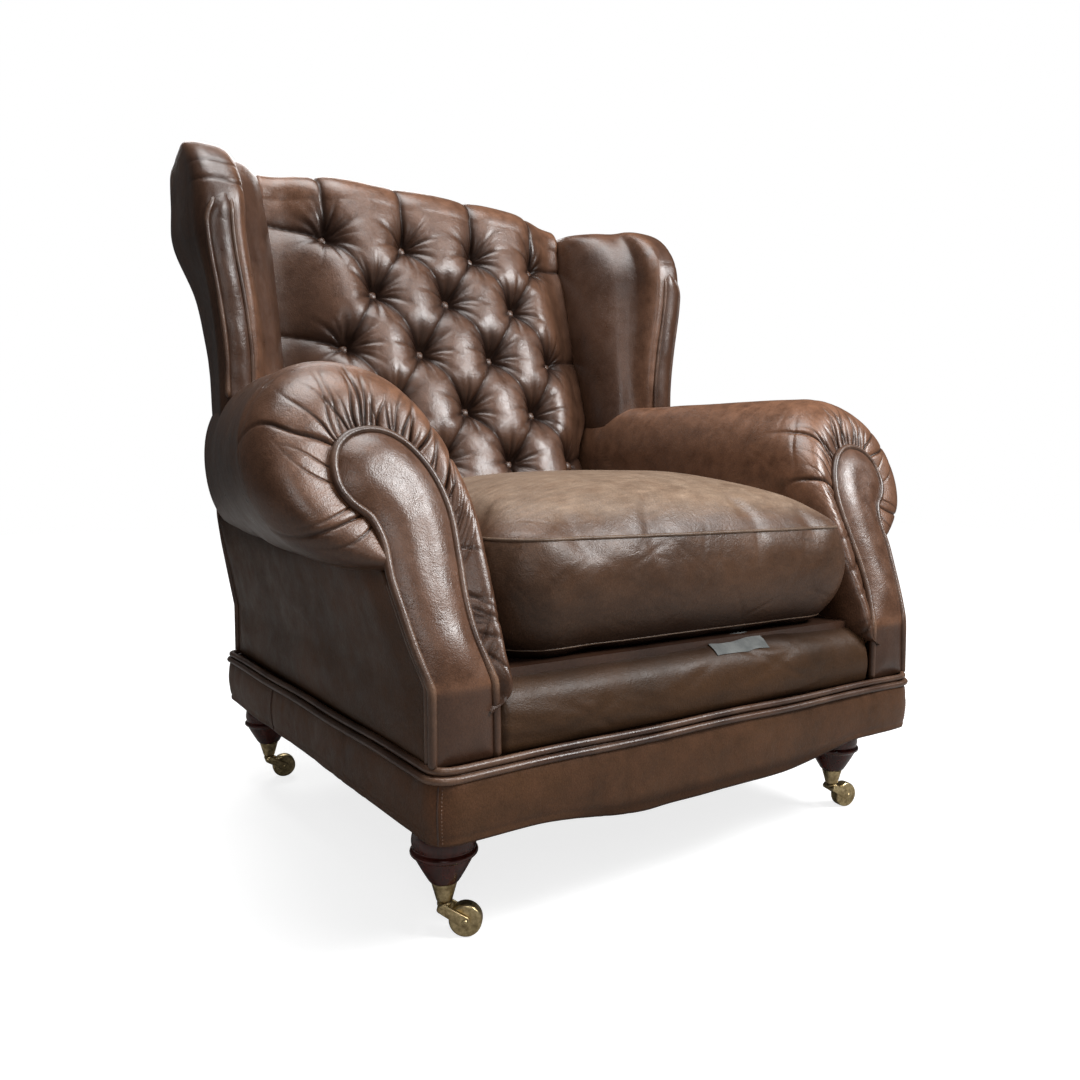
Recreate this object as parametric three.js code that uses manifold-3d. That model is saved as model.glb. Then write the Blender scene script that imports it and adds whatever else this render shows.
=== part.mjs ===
// Worn leather club chair with a deep-buttoned wing back, scroll arms, a loose seat cushion
// and four turned feet on swivelling brass castors.
// Millimetres, +Z up, the front faces -Y, the origin is on the floor under the middle of the chair.

import * as THREE from 'three';
import { mergeVertices } from 'three/addons/utils/BufferGeometryUtils.js';
import Module from 'manifold-3d';

const wasm = await Module();
wasm.setup();

// Clearances
const GAP = 0.3; // between pieces that are fixed to each other
const PAD_GAP = 1; // between padded pieces that lie side by side
const PIN_CLEARANCE = 0.3; // round a turning pin

// Seat frame and plinth
const SEAT_WIDTH = 632; // clear width between the arms
const PLINTH_DEPTH = 782;
const PLINTH_BOTTOM = 145; // height of the plinth's underside above the floor
const PLINTH_HEIGHT = 81;
const PLINTH_FRONT_THICKNESS = 30;
const PLINTH_THICKNESS = 22; // at the sides and the rear
const APRON_DROP = 20; // how far the middle of the front plinth hangs below its ends
const APRON_END = 130; // straight length of the front plinth at each end
const APRON_SLOPE = 110; // length of each slope down to the hanging middle
const RAIL_RISE = 5; // the rails' underside above the plinth's underside
const RAIL_THICKNESS = 28;
const RAIL_HEIGHT = 150;
const ARM_TO_RAIL = 44; // from the inner face of an arm out to the side rail
const LEG_BOARD_WIDTH = 90;
const LEG_BOARD_THICKNESS = 25;
const DUST_COVER_THICKNESS = 2;

// Seat
const SPRING_WIRE = 4;
const SPRING_SWING = 24; // half the width of a zigzag
const SPRING_PITCH = 44; // length of one bend of a zigzag
const SPRING_SPACING = 150;
const SPRING_COUNT = 4;
const SPRING_END_INSET = 8; // from the outer face of a rail to the end of a spring
const DECK_THICKNESS = 12;
const CUSHION_SIDE_HEIGHT = 145;
const CUSHION_CROWN = 65;
const CUSHION_EDGE = 18; // rounding of the cushion's edges
const CUSHION_CORNER = 25; // rounding of its corners in plan
const CUSHION_SLOPE = 190; // from the cushion's edge to its flat crown
const CUSHION_OVERHANG = 15; // the cushion's front behind the plinth's front
const BORDER_THICKNESS = 18;
const BORDER_HEIGHT = 73;
const TAB_WIDTH = 100;
const TAB_HEIGHT = 27;
const TAB_THICKNESS = 1.2;
const TAB_OFFSET = 65; // from the middle of the seat to the middle of the cloth tab

// Arms
const ARM_BLOCK_WIDTH = 79;
const ARM_BLOCK_HEIGHT = 86.5;
const ARM_BLOCK_INSET = 15; // from the arm's inner face out to the block
const FACING_SETBACK = 10; // the facing's foot behind the plinth's front
const FACING_LEAN = 0.4245; // backward lean of the facing, length for each unit of height
const FACING_THICKNESS = 18;
const FACING_SHAFT_HEIGHT = 177; // from the block's top to the lower edge of the scroll
const SCROLL_RADIUS = 62;
const SHAFT_INSET = 34; // from the arm's inner face out to the shaft and the scroll
const SHAFT_WIDTH = 86;
const ARM_BOARD_THICKNESS = 22;
const ARM_BOARD_INSET = 16; // the board's edge inside the facing's edge
const ROLL_HALF_WIDTH_FRONT = 120;
const ROLL_HALF_WIDTH_REAR = 70;
const ROLL_HALF_HEIGHT = 123;
const ROLL_CENTRE_HEIGHT = 550; // above the floor, at the front
const ROLL_RISE = 12; // the roll's rise towards the rear
const ROLL_NOSE = 55; // depth of the rounded front of the roll
const ROLL_LIP = 12; // thickness of the padding beside the facing
const ARM_RAIL_WIDTH = 60;
const ARM_RAIL_THICKNESS = 25;
const ARM_RAIL_LIFT = 29.2; // the rail's underside above the scroll's centre
const OUTSIDE_ARM_THICKNESS = 8;
const OUTSIDE_ARM_FLARE = 22; // outward lean of the outside arm towards its top
const OUTSIDE_ARM_HEIGHT = 199;
const OUTSIDE_ARM_TAPER = 12; // how far the outside arm runs inward towards the rear

// Back
const BACK_INSET = 12; // the outside back in front of the plinth's rear
const BACK_KNEE = 600; // height where the outside back starts to rake
const BACK_RAKE = 0.28;
const BACK_TOP = 1062; // top of the outside back
const BACK_CREST = 1090; // top of the buttoned pad at the middle
const CREST_FALL = 45; // how far the crest falls towards the wings
const OUTSIDE_BACK_THICKNESS = 8;
const POST_WIDTH = 50;
const POST_DEPTH = 40;
const POST_OFFSET = 19; // from the arm's inner face out to the post
const FRAME_TOP = 1035;
const TOP_RAIL_HEIGHT = 50;
const LOWER_RAIL_HEIGHT = 60;
const LOWER_RAIL_BOTTOM = 430;
const PAD_RAKE = 0.358; // lean of the pad's face
const PAD_FACE_INSET = 192; // the pad's face in front of the plinth's rear, at the lower button row
const PAD_FACE_HEIGHT = 557; // height of the lower button row
const PAD_SPREAD = 28; // how much wider the pad is on each side above the arms
const PAD_SPREAD_RISE = 50; // from the middle of the arm roll up to where the pad starts to widen
const PAD_SPREAD_HEIGHT = 90; // height over which the pad widens
const PAD_ROUND = 26; // rounding of the pad's crest

// Wings
const WING_INSET = 185; // the wing's front edge in front of the plinth's rear
const WING_TOP = 1072;
const WING_CORNER_HEIGHT = 130;
const WING_CORNER_DEPTH = 150;
const WING_RISE = 80; // from the middle of the arm roll up to the lowest part of a wing
const WING_FRONT_OFFSET = 145; // from the arm's inner face out to the wing's outer front edge
const WING_TOE = 0.19; // how the wing runs inward towards the rear
const WING_FLARE = 0.08; // outward lean of the wing
const WING_FLARE_START = 675; // height where the offset is taken
const WING_BOARD_THICKNESS = 22;
const WING_NOSE = 22; // padding in front of the wing board
const OUTSIDE_WING_THICKNESS = 8;

// Feet and castors
const LEG_SIDE_INSET = 57; // the leg's axis inside the plinth's side
const LEG_FRONT_INSET = 93; // behind the plinth's front
const LEG_REAR_INSET = 29; // in front of the plinth's rear
const LEG_RADIUS = 39.5;
const LEG_TOP_RADIUS = 33;
const LEG_WAIST_RADIUS = 28;
const LEG_DOWEL_RADIUS = 6;
const CUP_HEIGHT = 24;
const CUP_RISE = 1; // the cup's underside above the top of the wheel
const CUP_RIM_RADIUS = 15;
const CUP_FOOT_RADIUS = 8.5;
const CUP_WALL = 1.5;
const CUP_FLOOR = 4;
const PIN_RADIUS = 3;
const PIN_HEAD_RADIUS = 5;
const PIN_HEAD_HEIGHT = 1.3;
const WHEEL_RADIUS = 19.5;
const WHEEL_WIDTH = 18;
const WHEEL_CHAMFER = 2;
const WHEEL_REACH = 5.5; // from the swivel axis to the near side of the wheel
const FORK_SIDE_GAP = 1; // between the wheel and each cheek of the fork
const FORK_CHEEK = 2.5;
const AXLE_HEAD = 1.5;
const CASTORS = [
  { name: 'front_left', side: -1, end: -1, angle: -37.5 },
  { name: 'front_right', side: 1, end: -1, angle: -10 },
  { name: 'rear_left', side: -1, end: 1, angle: -11 },
  { name: 'rear_right', side: 1, end: 1, angle: -24 },
];

// Facets of the round shapes
const LEG_FACETS = 16;
const SMALL_FACETS = 16;
const WHEEL_FACETS = 24;

// Places that follow from the sizes above
const armInner = SEAT_WIDTH / 2;
const railInner = armInner + ARM_TO_RAIL;
const railOuter = railInner + RAIL_THICKNESS;
const plinthSide = railOuter + GAP + PLINTH_THICKNESS;
const plinthTop = PLINTH_BOTTOM + PLINTH_HEIGHT;
const railBottom = PLINTH_BOTTOM + RAIL_RISE;
const railTop = railBottom + RAIL_HEIGHT;
const backOverhang = BACK_RAKE * (BACK_TOP - BACK_KNEE) - BACK_INSET;
const plinthFront = -(PLINTH_DEPTH + backOverhang) / 2;
const plinthRear = plinthFront + PLINTH_DEPTH;
const frontRailFace = plinthFront + PLINTH_FRONT_THICKNESS + GAP;
const rearRailFace = plinthRear - PLINTH_THICKNESS - GAP;
const blockFront = plinthFront + FACING_SETBACK;
const blockBottom = plinthTop + GAP;
const blockTop = blockBottom + ARM_BLOCK_HEIGHT;
const blockInner = armInner + ARM_BLOCK_INSET;
const blockOuter = blockInner + ARM_BLOCK_WIDTH;
const springBottom = railTop + GAP;
const deckBottom = springBottom + SPRING_WIRE + GAP;
const deckTop = deckBottom + DECK_THICKNESS;
const postInner = armInner + POST_OFFSET;
const padHalf = armInner - PAD_GAP;
const padHalfUpper = padHalf + PAD_SPREAD;
const wingFrontY = plinthRear - WING_INSET;
const armFloor = railTop + GAP;
const wingBottom = ROLL_CENTRE_HEIGHT + WING_RISE;
const shaftInner = armInner + SHAFT_INSET;
const scrollCentre = shaftInner + SCROLL_RADIUS;
const scrollHeight = blockTop + FACING_SHAFT_HEIGHT + SCROLL_RADIUS / 2;
const armRailBottom = scrollHeight + ARM_RAIL_LIFT;
const cupBottom = 2 * WHEEL_RADIUS + CUP_RISE;
const cupRimHeight = cupBottom + CUP_HEIGHT;
const wheelTrail = WHEEL_REACH + WHEEL_RADIUS; // from the swivel axis to the axle

const leather = material('leather', 0x4a3020, 0.45, 0);
const leatherSeat = material('leather_seat', 0x7a6a5c, 0.5, 0);
const beech = material('beech', 0xb98d5c, 0.7, 0);
const mahogany = material('mahogany', 0x3a1710, 0.3, 0);
const brass = material('brass', 0x9b7d3c, 0.4, 0.9);
const steel = material('steel', 0x6f7276, 0.45, 0.8);
const cloth = material('cloth', 0x2a2827, 0.95, 0);
const tabCloth = material('tab_cloth', 0x8a8782, 0.95, 0);

const chair = new THREE.Group();
chair.name = 'club_chair';

function material(name, color, roughness, metalness) {
  const made = new THREE.MeshStandardMaterial({ color, roughness, metalness });
  made.name = name;
  return made;
}

function add(name, geometry, look) {
  geometry.computeVertexNormals();
  const mesh = new THREE.Mesh(geometry, look);
  mesh.name = name;
  chair.add(mesh);
}

// Adds a piece of the right-hand side and its mirror image on the left
function addPair(name, geometry, look) {
  add(`${name}_left`, mirrored(geometry), look);
  add(`${name}_right`, geometry, look);
}

function mirrored(geometry) {
  const copy = geometry.index ? geometry.toNonIndexed() : geometry.clone();
  copy.scale(-1, 1, 1);
  const spots = copy.attributes.position;
  const second = new THREE.Vector3();
  const third = new THREE.Vector3();
  for (let corner = 0; corner < spots.count; corner += 3) {
    second.fromBufferAttribute(spots, corner + 1);
    third.fromBufferAttribute(spots, corner + 2);
    spots.setXYZ(corner + 1, third.x, third.y, third.z);
    spots.setXYZ(corner + 2, second.x, second.y, second.z);
  }
  return copy;
}

function box(x0, x1, y0, y1, z0, z1) {
  const geometry = new THREE.BoxGeometry(x1 - x0, y1 - y0, z1 - z0);
  geometry.translate((x0 + x1) / 2, (y0 + y1) / 2, (z0 + z1) / 2);
  return geometry;
}

// Turns a profile of [radius, height] round the Z axis
function turned(profile, facets) {
  const points = profile.map(([radius, height]) => new THREE.Vector2(radius, height));
  const geometry = new THREE.LatheGeometry(points, facets);
  geometry.rotateX(Math.PI / 2);
  return geometry;
}

function toBody(geometry) {
  const bare = geometry.clone();
  bare.deleteAttribute('normal');
  bare.deleteAttribute('uv');
  const welded = mergeVertices(bare, 1e-4);
  const corners = Array.from(welded.index.array);
  const kept = [];
  for (let start = 0; start < corners.length; start += 3) {
    const [a, b, c] = corners.slice(start, start + 3);
    if (a !== b && b !== c && c !== a) {
      kept.push(a, b, c);
    }
  }
  const mesh = new wasm.Mesh({
    numProp: 3,
    vertProperties: new Float32Array(welded.attributes.position.array),
    triVerts: new Uint32Array(kept),
  });
  const body = new wasm.Manifold(mesh);
  return signedVolume(kept, welded.attributes.position) < 0 ? toBody(flipped(geometry)) : body;
}

function toGeometry(body) {
  const mesh = body.getMesh();
  const geometry = new THREE.BufferGeometry();
  geometry.setAttribute('position', new THREE.BufferAttribute(mesh.vertProperties, 3));
  geometry.setIndex(new THREE.BufferAttribute(mesh.triVerts, 1));
  return geometry;
}

function flipped(geometry) {
  const copy = mergeVertices(geometry.clone(), 1e-4);
  const corners = copy.index.array;
  for (let start = 0; start < corners.length; start += 3) {
    const second = corners[start + 1];
    corners[start + 1] = corners[start + 2];
    corners[start + 2] = second;
  }
  return copy;
}

function signedVolume(corners, spots) {
  const a = new THREE.Vector3();
  const b = new THREE.Vector3();
  const c = new THREE.Vector3();
  let total = 0;
  for (let start = 0; start < corners.length; start += 3) {
    a.fromBufferAttribute(spots, corners[start]);
    b.fromBufferAttribute(spots, corners[start + 1]);
    c.fromBufferAttribute(spots, corners[start + 2]);
    total += a.dot(b.cross(c));
  }
  return total;
}

// Joins rings of [x, y, z] points into a closed skin; flatAxes names the two axes of the end caps,
// and without it the caps are strips between the first and the second half of a ring
function loft(rings, flatAxes) {
  const count = rings[0].length;
  const corners = [];
  for (let ring = 0; ring + 1 < rings.length; ring++) {
    for (let spot = 0; spot < count; spot++) {
      const next = (spot + 1) % count;
      const low = ring * count;
      const high = low + count;
      corners.push(low + spot, low + next, high + next, low + spot, high + next, high + spot);
    }
  }
  const addEnd = flatAxes ? addCap : addStrip;
  addEnd(corners, rings[0], 0, true, flatAxes);
  addEnd(corners, rings[rings.length - 1], (rings.length - 1) * count, false, flatAxes);
  const geometry = new THREE.BufferGeometry();
  geometry.setAttribute('position', new THREE.Float32BufferAttribute(rings.flat(2), 3));
  if (signedVolume(corners, geometry.attributes.position) < 0) {
    corners.reverse();
  }
  geometry.setIndex(corners);
  return geometry;
}

function addCap(corners, ring, start, reversed, flatAxes) {
  const flat = ring.map((point) => new THREE.Vector2(point[flatAxes[0]], point[flatAxes[1]]));
  const turn = Math.sign(THREE.ShapeUtils.area(flat)) * (reversed ? -1 : 1);
  for (const [a, b, c] of THREE.ShapeUtils.triangulateShape(flat, [])) {
    const same = Math.sign(THREE.ShapeUtils.area([flat[a], flat[b], flat[c]])) === turn;
    corners.push(start + a, start + (same ? b : c), start + (same ? c : b));
  }
}

function addStrip(corners, ring, start, reversed) {
  const last = start + ring.length - 1;
  for (let spot = 0; spot < ring.length / 2 - 1; spot++) {
    const near = [start + spot, start + spot + 1];
    const far = [last - spot, last - spot - 1];
    if (reversed) {
      corners.push(near[1], near[0], far[0], near[1], far[0], far[1]);
    } else {
      corners.push(near[0], near[1], far[0], near[1], far[1], far[0]);
    }
  }
}

function mix(from, to, share) {
  return from + (to - from) * share;
}

// Face of the outside back
function outsideBack(z) {
  return plinthRear - BACK_INSET + BACK_RAKE * Math.max(0, z - BACK_KNEE);
}

// Front and rear of the posts and rails inside the back
function postRear(z) {
  return outsideBack(z) - OUTSIDE_BACK_THICKNESS - GAP;
}

function postFront(z) {
  return postRear(z) - POST_DEPTH;
}

function padFace(z) {
  return plinthRear - PAD_FACE_INSET + PAD_RAKE * (z - PAD_FACE_HEIGHT);
}

// Front plane of the arm facing
function facingFront(z) {
  return blockFront + FACING_LEAN * Math.max(0, z - blockTop);
}

// Plinth, rails, leg boards and dust cover

function addSeatFrame() {
  const apron = new THREE.Shape();
  const apronFlat = plinthSide - APRON_END - APRON_SLOPE;
  apron.moveTo(-plinthSide, plinthTop);
  apron.lineTo(-plinthSide, PLINTH_BOTTOM);
  apron.lineTo(-apronFlat - APRON_SLOPE, PLINTH_BOTTOM);
  apron.lineTo(-apronFlat, PLINTH_BOTTOM - APRON_DROP);
  apron.lineTo(apronFlat, PLINTH_BOTTOM - APRON_DROP);
  apron.lineTo(apronFlat + APRON_SLOPE, PLINTH_BOTTOM);
  apron.lineTo(plinthSide, PLINTH_BOTTOM);
  apron.lineTo(plinthSide, plinthTop);
  const apronDepth = { depth: PLINTH_FRONT_THICKNESS, bevelEnabled: false };
  const front = new THREE.ExtrudeGeometry(apron, apronDepth);
  front.rotateX(Math.PI / 2);
  front.translate(0, plinthFront + PLINTH_FRONT_THICKNESS, 0);
  add('plinth_front', front, leather);

  const sideStart = plinthFront + PLINTH_FRONT_THICKNESS + GAP;
  const rearStart = plinthRear - PLINTH_THICKNESS;
  const side = box(railOuter + GAP, plinthSide, sideStart, rearStart - GAP, PLINTH_BOTTOM, plinthTop);
  addPair('plinth', side, leather);
  const rear = box(-plinthSide, plinthSide, rearStart, plinthRear, PLINTH_BOTTOM, plinthTop);
  add('plinth_rear', rear, leather);

  const frontRailBack = frontRailFace + RAIL_THICKNESS;
  const rearRailFront = rearRailFace - RAIL_THICKNESS;
  add('front_rail', box(-railOuter, railOuter, frontRailFace, frontRailBack, railBottom, railTop), beech);
  add('rear_rail', box(-railOuter, railOuter, rearRailFront, rearRailFace, railBottom, railTop), beech);
  const sideRail = box(railInner, railOuter, frontRailBack + GAP, rearRailFront - GAP, railBottom, railTop);
  addPair('side_rail', sideRail, beech);

  const boardHalf = railInner - GAP;
  const boardTop = railBottom + LEG_BOARD_THICKNESS;
  const frontStart = frontRailBack + GAP;
  const rearEnd = rearRailFront - GAP;
  const frontEnd = frontStart + LEG_BOARD_WIDTH;
  const rearStop = rearEnd - LEG_BOARD_WIDTH;
  const frontBoard = box(-boardHalf, boardHalf, frontStart, frontEnd, railBottom, boardTop);
  const rearBoard = box(-boardHalf, boardHalf, rearStop, rearEnd, railBottom, boardTop);
  add('leg_board_front', frontBoard, beech);
  add('leg_board_rear', rearBoard, beech);

  const cover = new THREE.Shape();
  const coverHalf = railOuter - PAD_GAP;
  cover.moveTo(-coverHalf, frontRailFace + PAD_GAP);
  cover.lineTo(coverHalf, frontRailFace + PAD_GAP);
  cover.lineTo(coverHalf, rearRailFace - PAD_GAP);
  cover.lineTo(-coverHalf, rearRailFace - PAD_GAP);
  const coverDepth = { depth: DUST_COVER_THICKNESS, bevelEnabled: false };
  const sheet = new THREE.ExtrudeGeometry(cover, coverDepth);
  sheet.translate(0, 0, railBottom - GAP - DUST_COVER_THICKNESS);
  let coverBody = toBody(sheet);
  for (const castor of CASTORS) {
    const [x, y] = legPlace(castor);
    const radius = LEG_DOWEL_RADIUS + PAD_GAP;
    const bore = [[0, PLINTH_BOTTOM], [radius, PLINTH_BOTTOM], [radius, railTop], [0, railTop]];
    const hole = turned(bore, SMALL_FACETS);
    hole.translate(x, y, 0);
    coverBody = coverBody.subtract(toBody(hole));
  }
  add('dust_cover', toGeometry(coverBody), cloth);
}

// Springs, deck, cushion and front border

function addSeat() {
  const start = frontRailFace + SPRING_END_INSET;
  const end = rearRailFace - SPRING_END_INSET;
  const bends = Math.floor((end - start - 2 * RAIL_THICKNESS) / SPRING_PITCH);
  const pitch = (end - start - 2 * RAIL_THICKNESS) / bends;
  for (let number = 0; number < SPRING_COUNT; number++) {
    const middle = (number - (SPRING_COUNT - 1) / 2) * SPRING_SPACING;
    const path = [[middle, start]];
    for (let bend = 0; bend < bends; bend++) {
      const side = bend % 2 ? -SPRING_SWING : SPRING_SWING;
      const y = start + RAIL_THICKNESS + bend * pitch;
      path.push([middle + side, y + SPRING_WIRE], [middle + side, y + pitch - SPRING_WIRE]);
    }
    path.push([middle, end]);
    add(`seat_spring_${number + 1}`, wireBand(path, SPRING_WIRE, springBottom), steel);
  }

  const deckHalf = armInner - PAD_GAP;
  const deckRear = postFront(deckTop) - PAD_GAP;
  const deck = box(-deckHalf, deckHalf, frontRailFace + SPRING_END_INSET, deckRear, deckBottom, deckTop);
  add('seat_deck', deck, leather);

  const borderBack = frontRailFace - GAP;
  const borderFront = borderBack - BORDER_THICKNESS;
  const borderHalf = blockInner - GAP;
  const borderBottom = plinthTop + GAP;
  const borderTop = borderBottom + BORDER_HEIGHT;
  const border = box(-borderHalf, borderHalf, borderFront, borderBack, borderBottom, borderTop);
  add('front_border', border, leather);

  const tabLeft = TAB_OFFSET - TAB_WIDTH / 2;
  const tabBack = borderFront - GAP;
  const tabFront = tabBack - TAB_THICKNESS;
  const tab = box(tabLeft, tabLeft + TAB_WIDTH, tabFront, tabBack, borderTop - TAB_HEIGHT, borderTop);
  add('cloth_tab', tab, tabCloth);

  const cushionBottom = deckTop + GAP;
  const seam = cushionBottom + CUSHION_SIDE_HEIGHT;
  const half = armInner - 2 * PAD_GAP;
  // Heights and how far each ring lies inside the cushion's widest line
  const cushionRings = [
    [cushionBottom, CUSHION_EDGE],
    [cushionBottom + CUSHION_EDGE, 0],
    [seam - CUSHION_EDGE, 0],
    [seam, CUSHION_EDGE / 2],
    [seam + CUSHION_CROWN * 0.55, CUSHION_SLOPE * 0.3],
    [seam + CUSHION_CROWN * 0.9, CUSHION_SLOPE * 0.7],
    [seam + CUSHION_CROWN, CUSHION_SLOPE],
  ].map(([z, inset]) => {
    const front = plinthFront + CUSHION_OVERHANG + inset;
    const rear = padFace(Math.min(z, seam)) - 2 * PAD_GAP - inset;
    const side = half - inset;
    const flat = side - CUSHION_CORNER;
    const near = front + CUSHION_CORNER;
    const far = rear - CUSHION_CORNER;
    return [
      [-flat, front, z],
      [flat, front, z],
      [side, near, z],
      [side, far, z],
      [flat, rear, z],
      [-flat, rear, z],
      [-side, far, z],
      [-side, near, z],
    ];
  });
  add('seat_cushion', loft(cushionRings, [0, 1]), leatherSeat);
}

// A flat bent wire of square section that follows a path in plan
function wireBand(path, width, bottom) {
  const left = [];
  const right = [];
  path.forEach(([x, y], place) => {
    const before = path[Math.max(0, place - 1)];
    const after = path[Math.min(path.length - 1, place + 1)];
    const into = new THREE.Vector2(x - before[0], y - before[1]).normalize();
    const out = new THREE.Vector2(after[0] - x, after[1] - y).normalize();
    const along = into.add(out).normalize();
    const reach = width / 2 / Math.max(0.6, Math.abs(along.y));
    left.push(new THREE.Vector2(x - reach * along.y, y + reach * along.x));
    right.unshift(new THREE.Vector2(x + reach * along.y, y - reach * along.x));
  });
  const shape = new THREE.Shape([...left, ...right]);
  const geometry = new THREE.ExtrudeGeometry(shape, { depth: width, bevelEnabled: false });
  geometry.translate(0, 0, bottom);
  return geometry;
}

// Arms

// Outline of the arm facing as [x, z], from the foot up the inner edge and down the outer edge
function facingOutline(inset) {
  const shaftOuter = shaftInner + SHAFT_WIDTH;
  const footLean = SHAFT_WIDTH - ARM_BLOCK_WIDTH;
  const points = [
    [blockInner + inset, blockTop],
    [blockInner + footLean + inset, blockTop + FACING_SHAFT_HEIGHT * 0.12],
    [shaftInner + inset, blockTop + FACING_SHAFT_HEIGHT * 0.4],
  ];
  for (let angle = 180; angle >= -15; angle -= 15) {
    const turn = THREE.MathUtils.degToRad(angle);
    const reach = SCROLL_RADIUS - inset;
    points.push([scrollCentre + reach * Math.cos(turn), scrollHeight + reach * Math.sin(turn)]);
  }
  points.push(
    [shaftOuter + 10 - inset, scrollHeight - SCROLL_RADIUS / 2 + inset],
    [shaftOuter - inset, scrollHeight - SCROLL_RADIUS + 10 + inset],
    [shaftOuter - 3 - inset, blockTop + FACING_SHAFT_HEIGHT * 0.6],
    [blockOuter + 9 - inset, blockTop + FACING_SHAFT_HEIGHT * 0.22],
    [blockOuter - inset, blockTop],
  );
  return points;
}

// A slab between two planes parallel to the leaning facing
function leaningSlab(inset, front, back) {
  const outline = facingOutline(inset);
  const rings = [front, back].map((depth) => outline.map(([x, z]) => [x, facingFront(z) + depth, z]));
  return loft(rings, [0, 2]);
}

// The same slab with an upright foot that runs down to the given height
function footedSlab(inset, front, back, foot) {
  const left = blockInner + inset;
  const right = blockOuter - inset;
  const upright = box(left, right, blockFront + front, blockFront + back, foot, blockTop + GAP / 2);
  return toBody(leaningSlab(inset, front, back)).add(toBody(upright));
}

// Inner face of the outside arm panel at a height and a share of the way to the rear
function outsideArmInner(z, share) {
  const lift = Math.max(0, z - blockTop) / (plinthTop + OUTSIDE_ARM_HEIGHT - blockTop);
  return blockOuter - OUTSIDE_ARM_THICKNESS + OUTSIDE_ARM_FLARE * lift - OUTSIDE_ARM_TAPER * share;
}

const roll = {
  noseCentre: scrollCentre,
  noseHeight: scrollHeight,
  noseRadius: SCROLL_RADIUS + ROLL_LIP,
  noseInner: shaftInner - ROLL_LIP,
};

// One ring of the arm padding; depth is behind the facing, or null for the rear end
function armRing(depth, swell) {
  const rear = depth === null;
  const growth = rear ? 1 : Math.sqrt(1 - (1 - depth / ROLL_NOSE) ** 2);
  const fullWidth = rear ? ROLL_HALF_WIDTH_REAR : ROLL_HALF_WIDTH_FRONT;
  const fullHeight = ROLL_CENTRE_HEIGHT + (rear ? ROLL_RISE : 0);
  const centre = mix(roll.noseCentre, armInner + fullWidth, growth);
  const height = mix(roll.noseHeight, fullHeight, growth);
  const halfWidth = mix(roll.noseRadius, fullWidth, growth) + swell;
  const halfHeight = mix(roll.noseRadius, ROLL_HALF_HEIGHT, growth) + swell;
  const inner = mix(roll.noseInner, armInner, growth) - swell;
  const wallTop = plinthTop + OUTSIDE_ARM_HEIGHT;
  const outline = [
    [inner, armFloor],
    [inner, mix(armFloor, height, 0.5)],
  ];
  for (let angle = 180; angle >= -90; angle -= 18) {
    const turn = THREE.MathUtils.degToRad(angle);
    outline.push([centre + halfWidth * Math.cos(turn), height + halfHeight * Math.sin(turn)]);
  }
  const place = (z) => (rear ? postFront(BACK_KNEE) - GAP : facingFront(z) + depth);
  const share = (z) => {
    const start = facingFront(z) + FACING_THICKNESS + GAP;
    return Math.max(0, (place(z) - start) / (postRear(z) - start));
  };
  for (const z of [wallTop, blockTop, armFloor]) {
    outline.push([outsideArmInner(z, share(z)) - PAD_GAP, z]);
  }
  return outline.map(([x, z]) => [x, place(z), z]);
}

function armRings(swell) {
  const depths = [0, 0.15, 0.45, 1].map((share) => share * ROLL_NOSE);
  return [...depths.map((depth) => armRing(depth, swell)), armRing(null, swell)];
}

// Wooden rail inside the roll; swell widens it to its channel and lengthen runs it past both ends
function armRail(swell, lengthen) {
  const low = armRailBottom - swell;
  const high = armRailBottom + ARM_RAIL_THICKNESS + swell;
  const left = railInner - swell;
  const right = railInner + ARM_RAIL_WIDTH + swell;
  const section = [[left, low], [right, low], [right, high], [left, high]];
  const start = FACING_THICKNESS + ARM_BOARD_THICKNESS + 2 * GAP - lengthen;
  const rings = [
    section.map(([x, z]) => [x, facingFront(z) + start, z]),
    section.map(([x, z]) => [x, postFront(z) - GAP + lengthen, z]),
  ];
  return loft(rings, [0, 2]);
}

function addArms() {
  const blockBack = blockFront + FACING_THICKNESS;
  const block = box(blockInner, blockOuter, blockFront, blockBack, blockBottom, blockTop - GAP);
  addPair('arm_block', block, leather);
  addPair('arm_facing', leaningSlab(0, 0, FACING_THICKNESS), leather);

  const boardFront = FACING_THICKNESS + GAP;
  const boardBack = boardFront + ARM_BOARD_THICKNESS;
  const board = footedSlab(ARM_BOARD_INSET, boardFront, boardBack, armFloor);
  addPair('arm_board', toGeometry(board), beech);
  addPair('arm_rail', armRail(0, 0), beech);

  const recess = footedSlab(-GAP, -ROLL_NOSE, boardBack + GAP, armFloor - PAD_GAP);
  const channel = toBody(armRail(PAD_GAP, PAD_GAP));
  const padding = toBody(loft(armRings(0), [0, 2])).subtract(recess).subtract(channel);
  addPair('arm_pad', toGeometry(padding), leather);

  const low = plinthTop + GAP;
  const high = plinthTop + OUTSIDE_ARM_HEIGHT - PAD_GAP;
  const ends = [
    (z) => [facingFront(z) + FACING_THICKNESS + GAP, 0],
    (z) => [postRear(z), 1],
  ];
  const panelRings = ends.map((end) => {
    const ring = [];
    for (const z of [low, blockTop, high]) {
      const [y, share] = end(z);
      ring.push([outsideArmInner(z, share), y, z]);
    }
    for (const z of [high, blockTop, low]) {
      const [y, share] = end(z);
      ring.push([outsideArmInner(z, share) + OUTSIDE_ARM_THICKNESS, y, z]);
    }
    return ring;
  });
  addPair('outside_arm', loft(panelRings, [0, 2]), leather);
}

// Wings

function wingFront(z) {
  const rise = Math.max(0, z - WING_TOP + WING_CORNER_HEIGHT) / WING_CORNER_HEIGHT;
  return wingFrontY + WING_CORNER_DEPTH * (1 - Math.sqrt(Math.max(0, 1 - rise * rise)));
}

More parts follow.
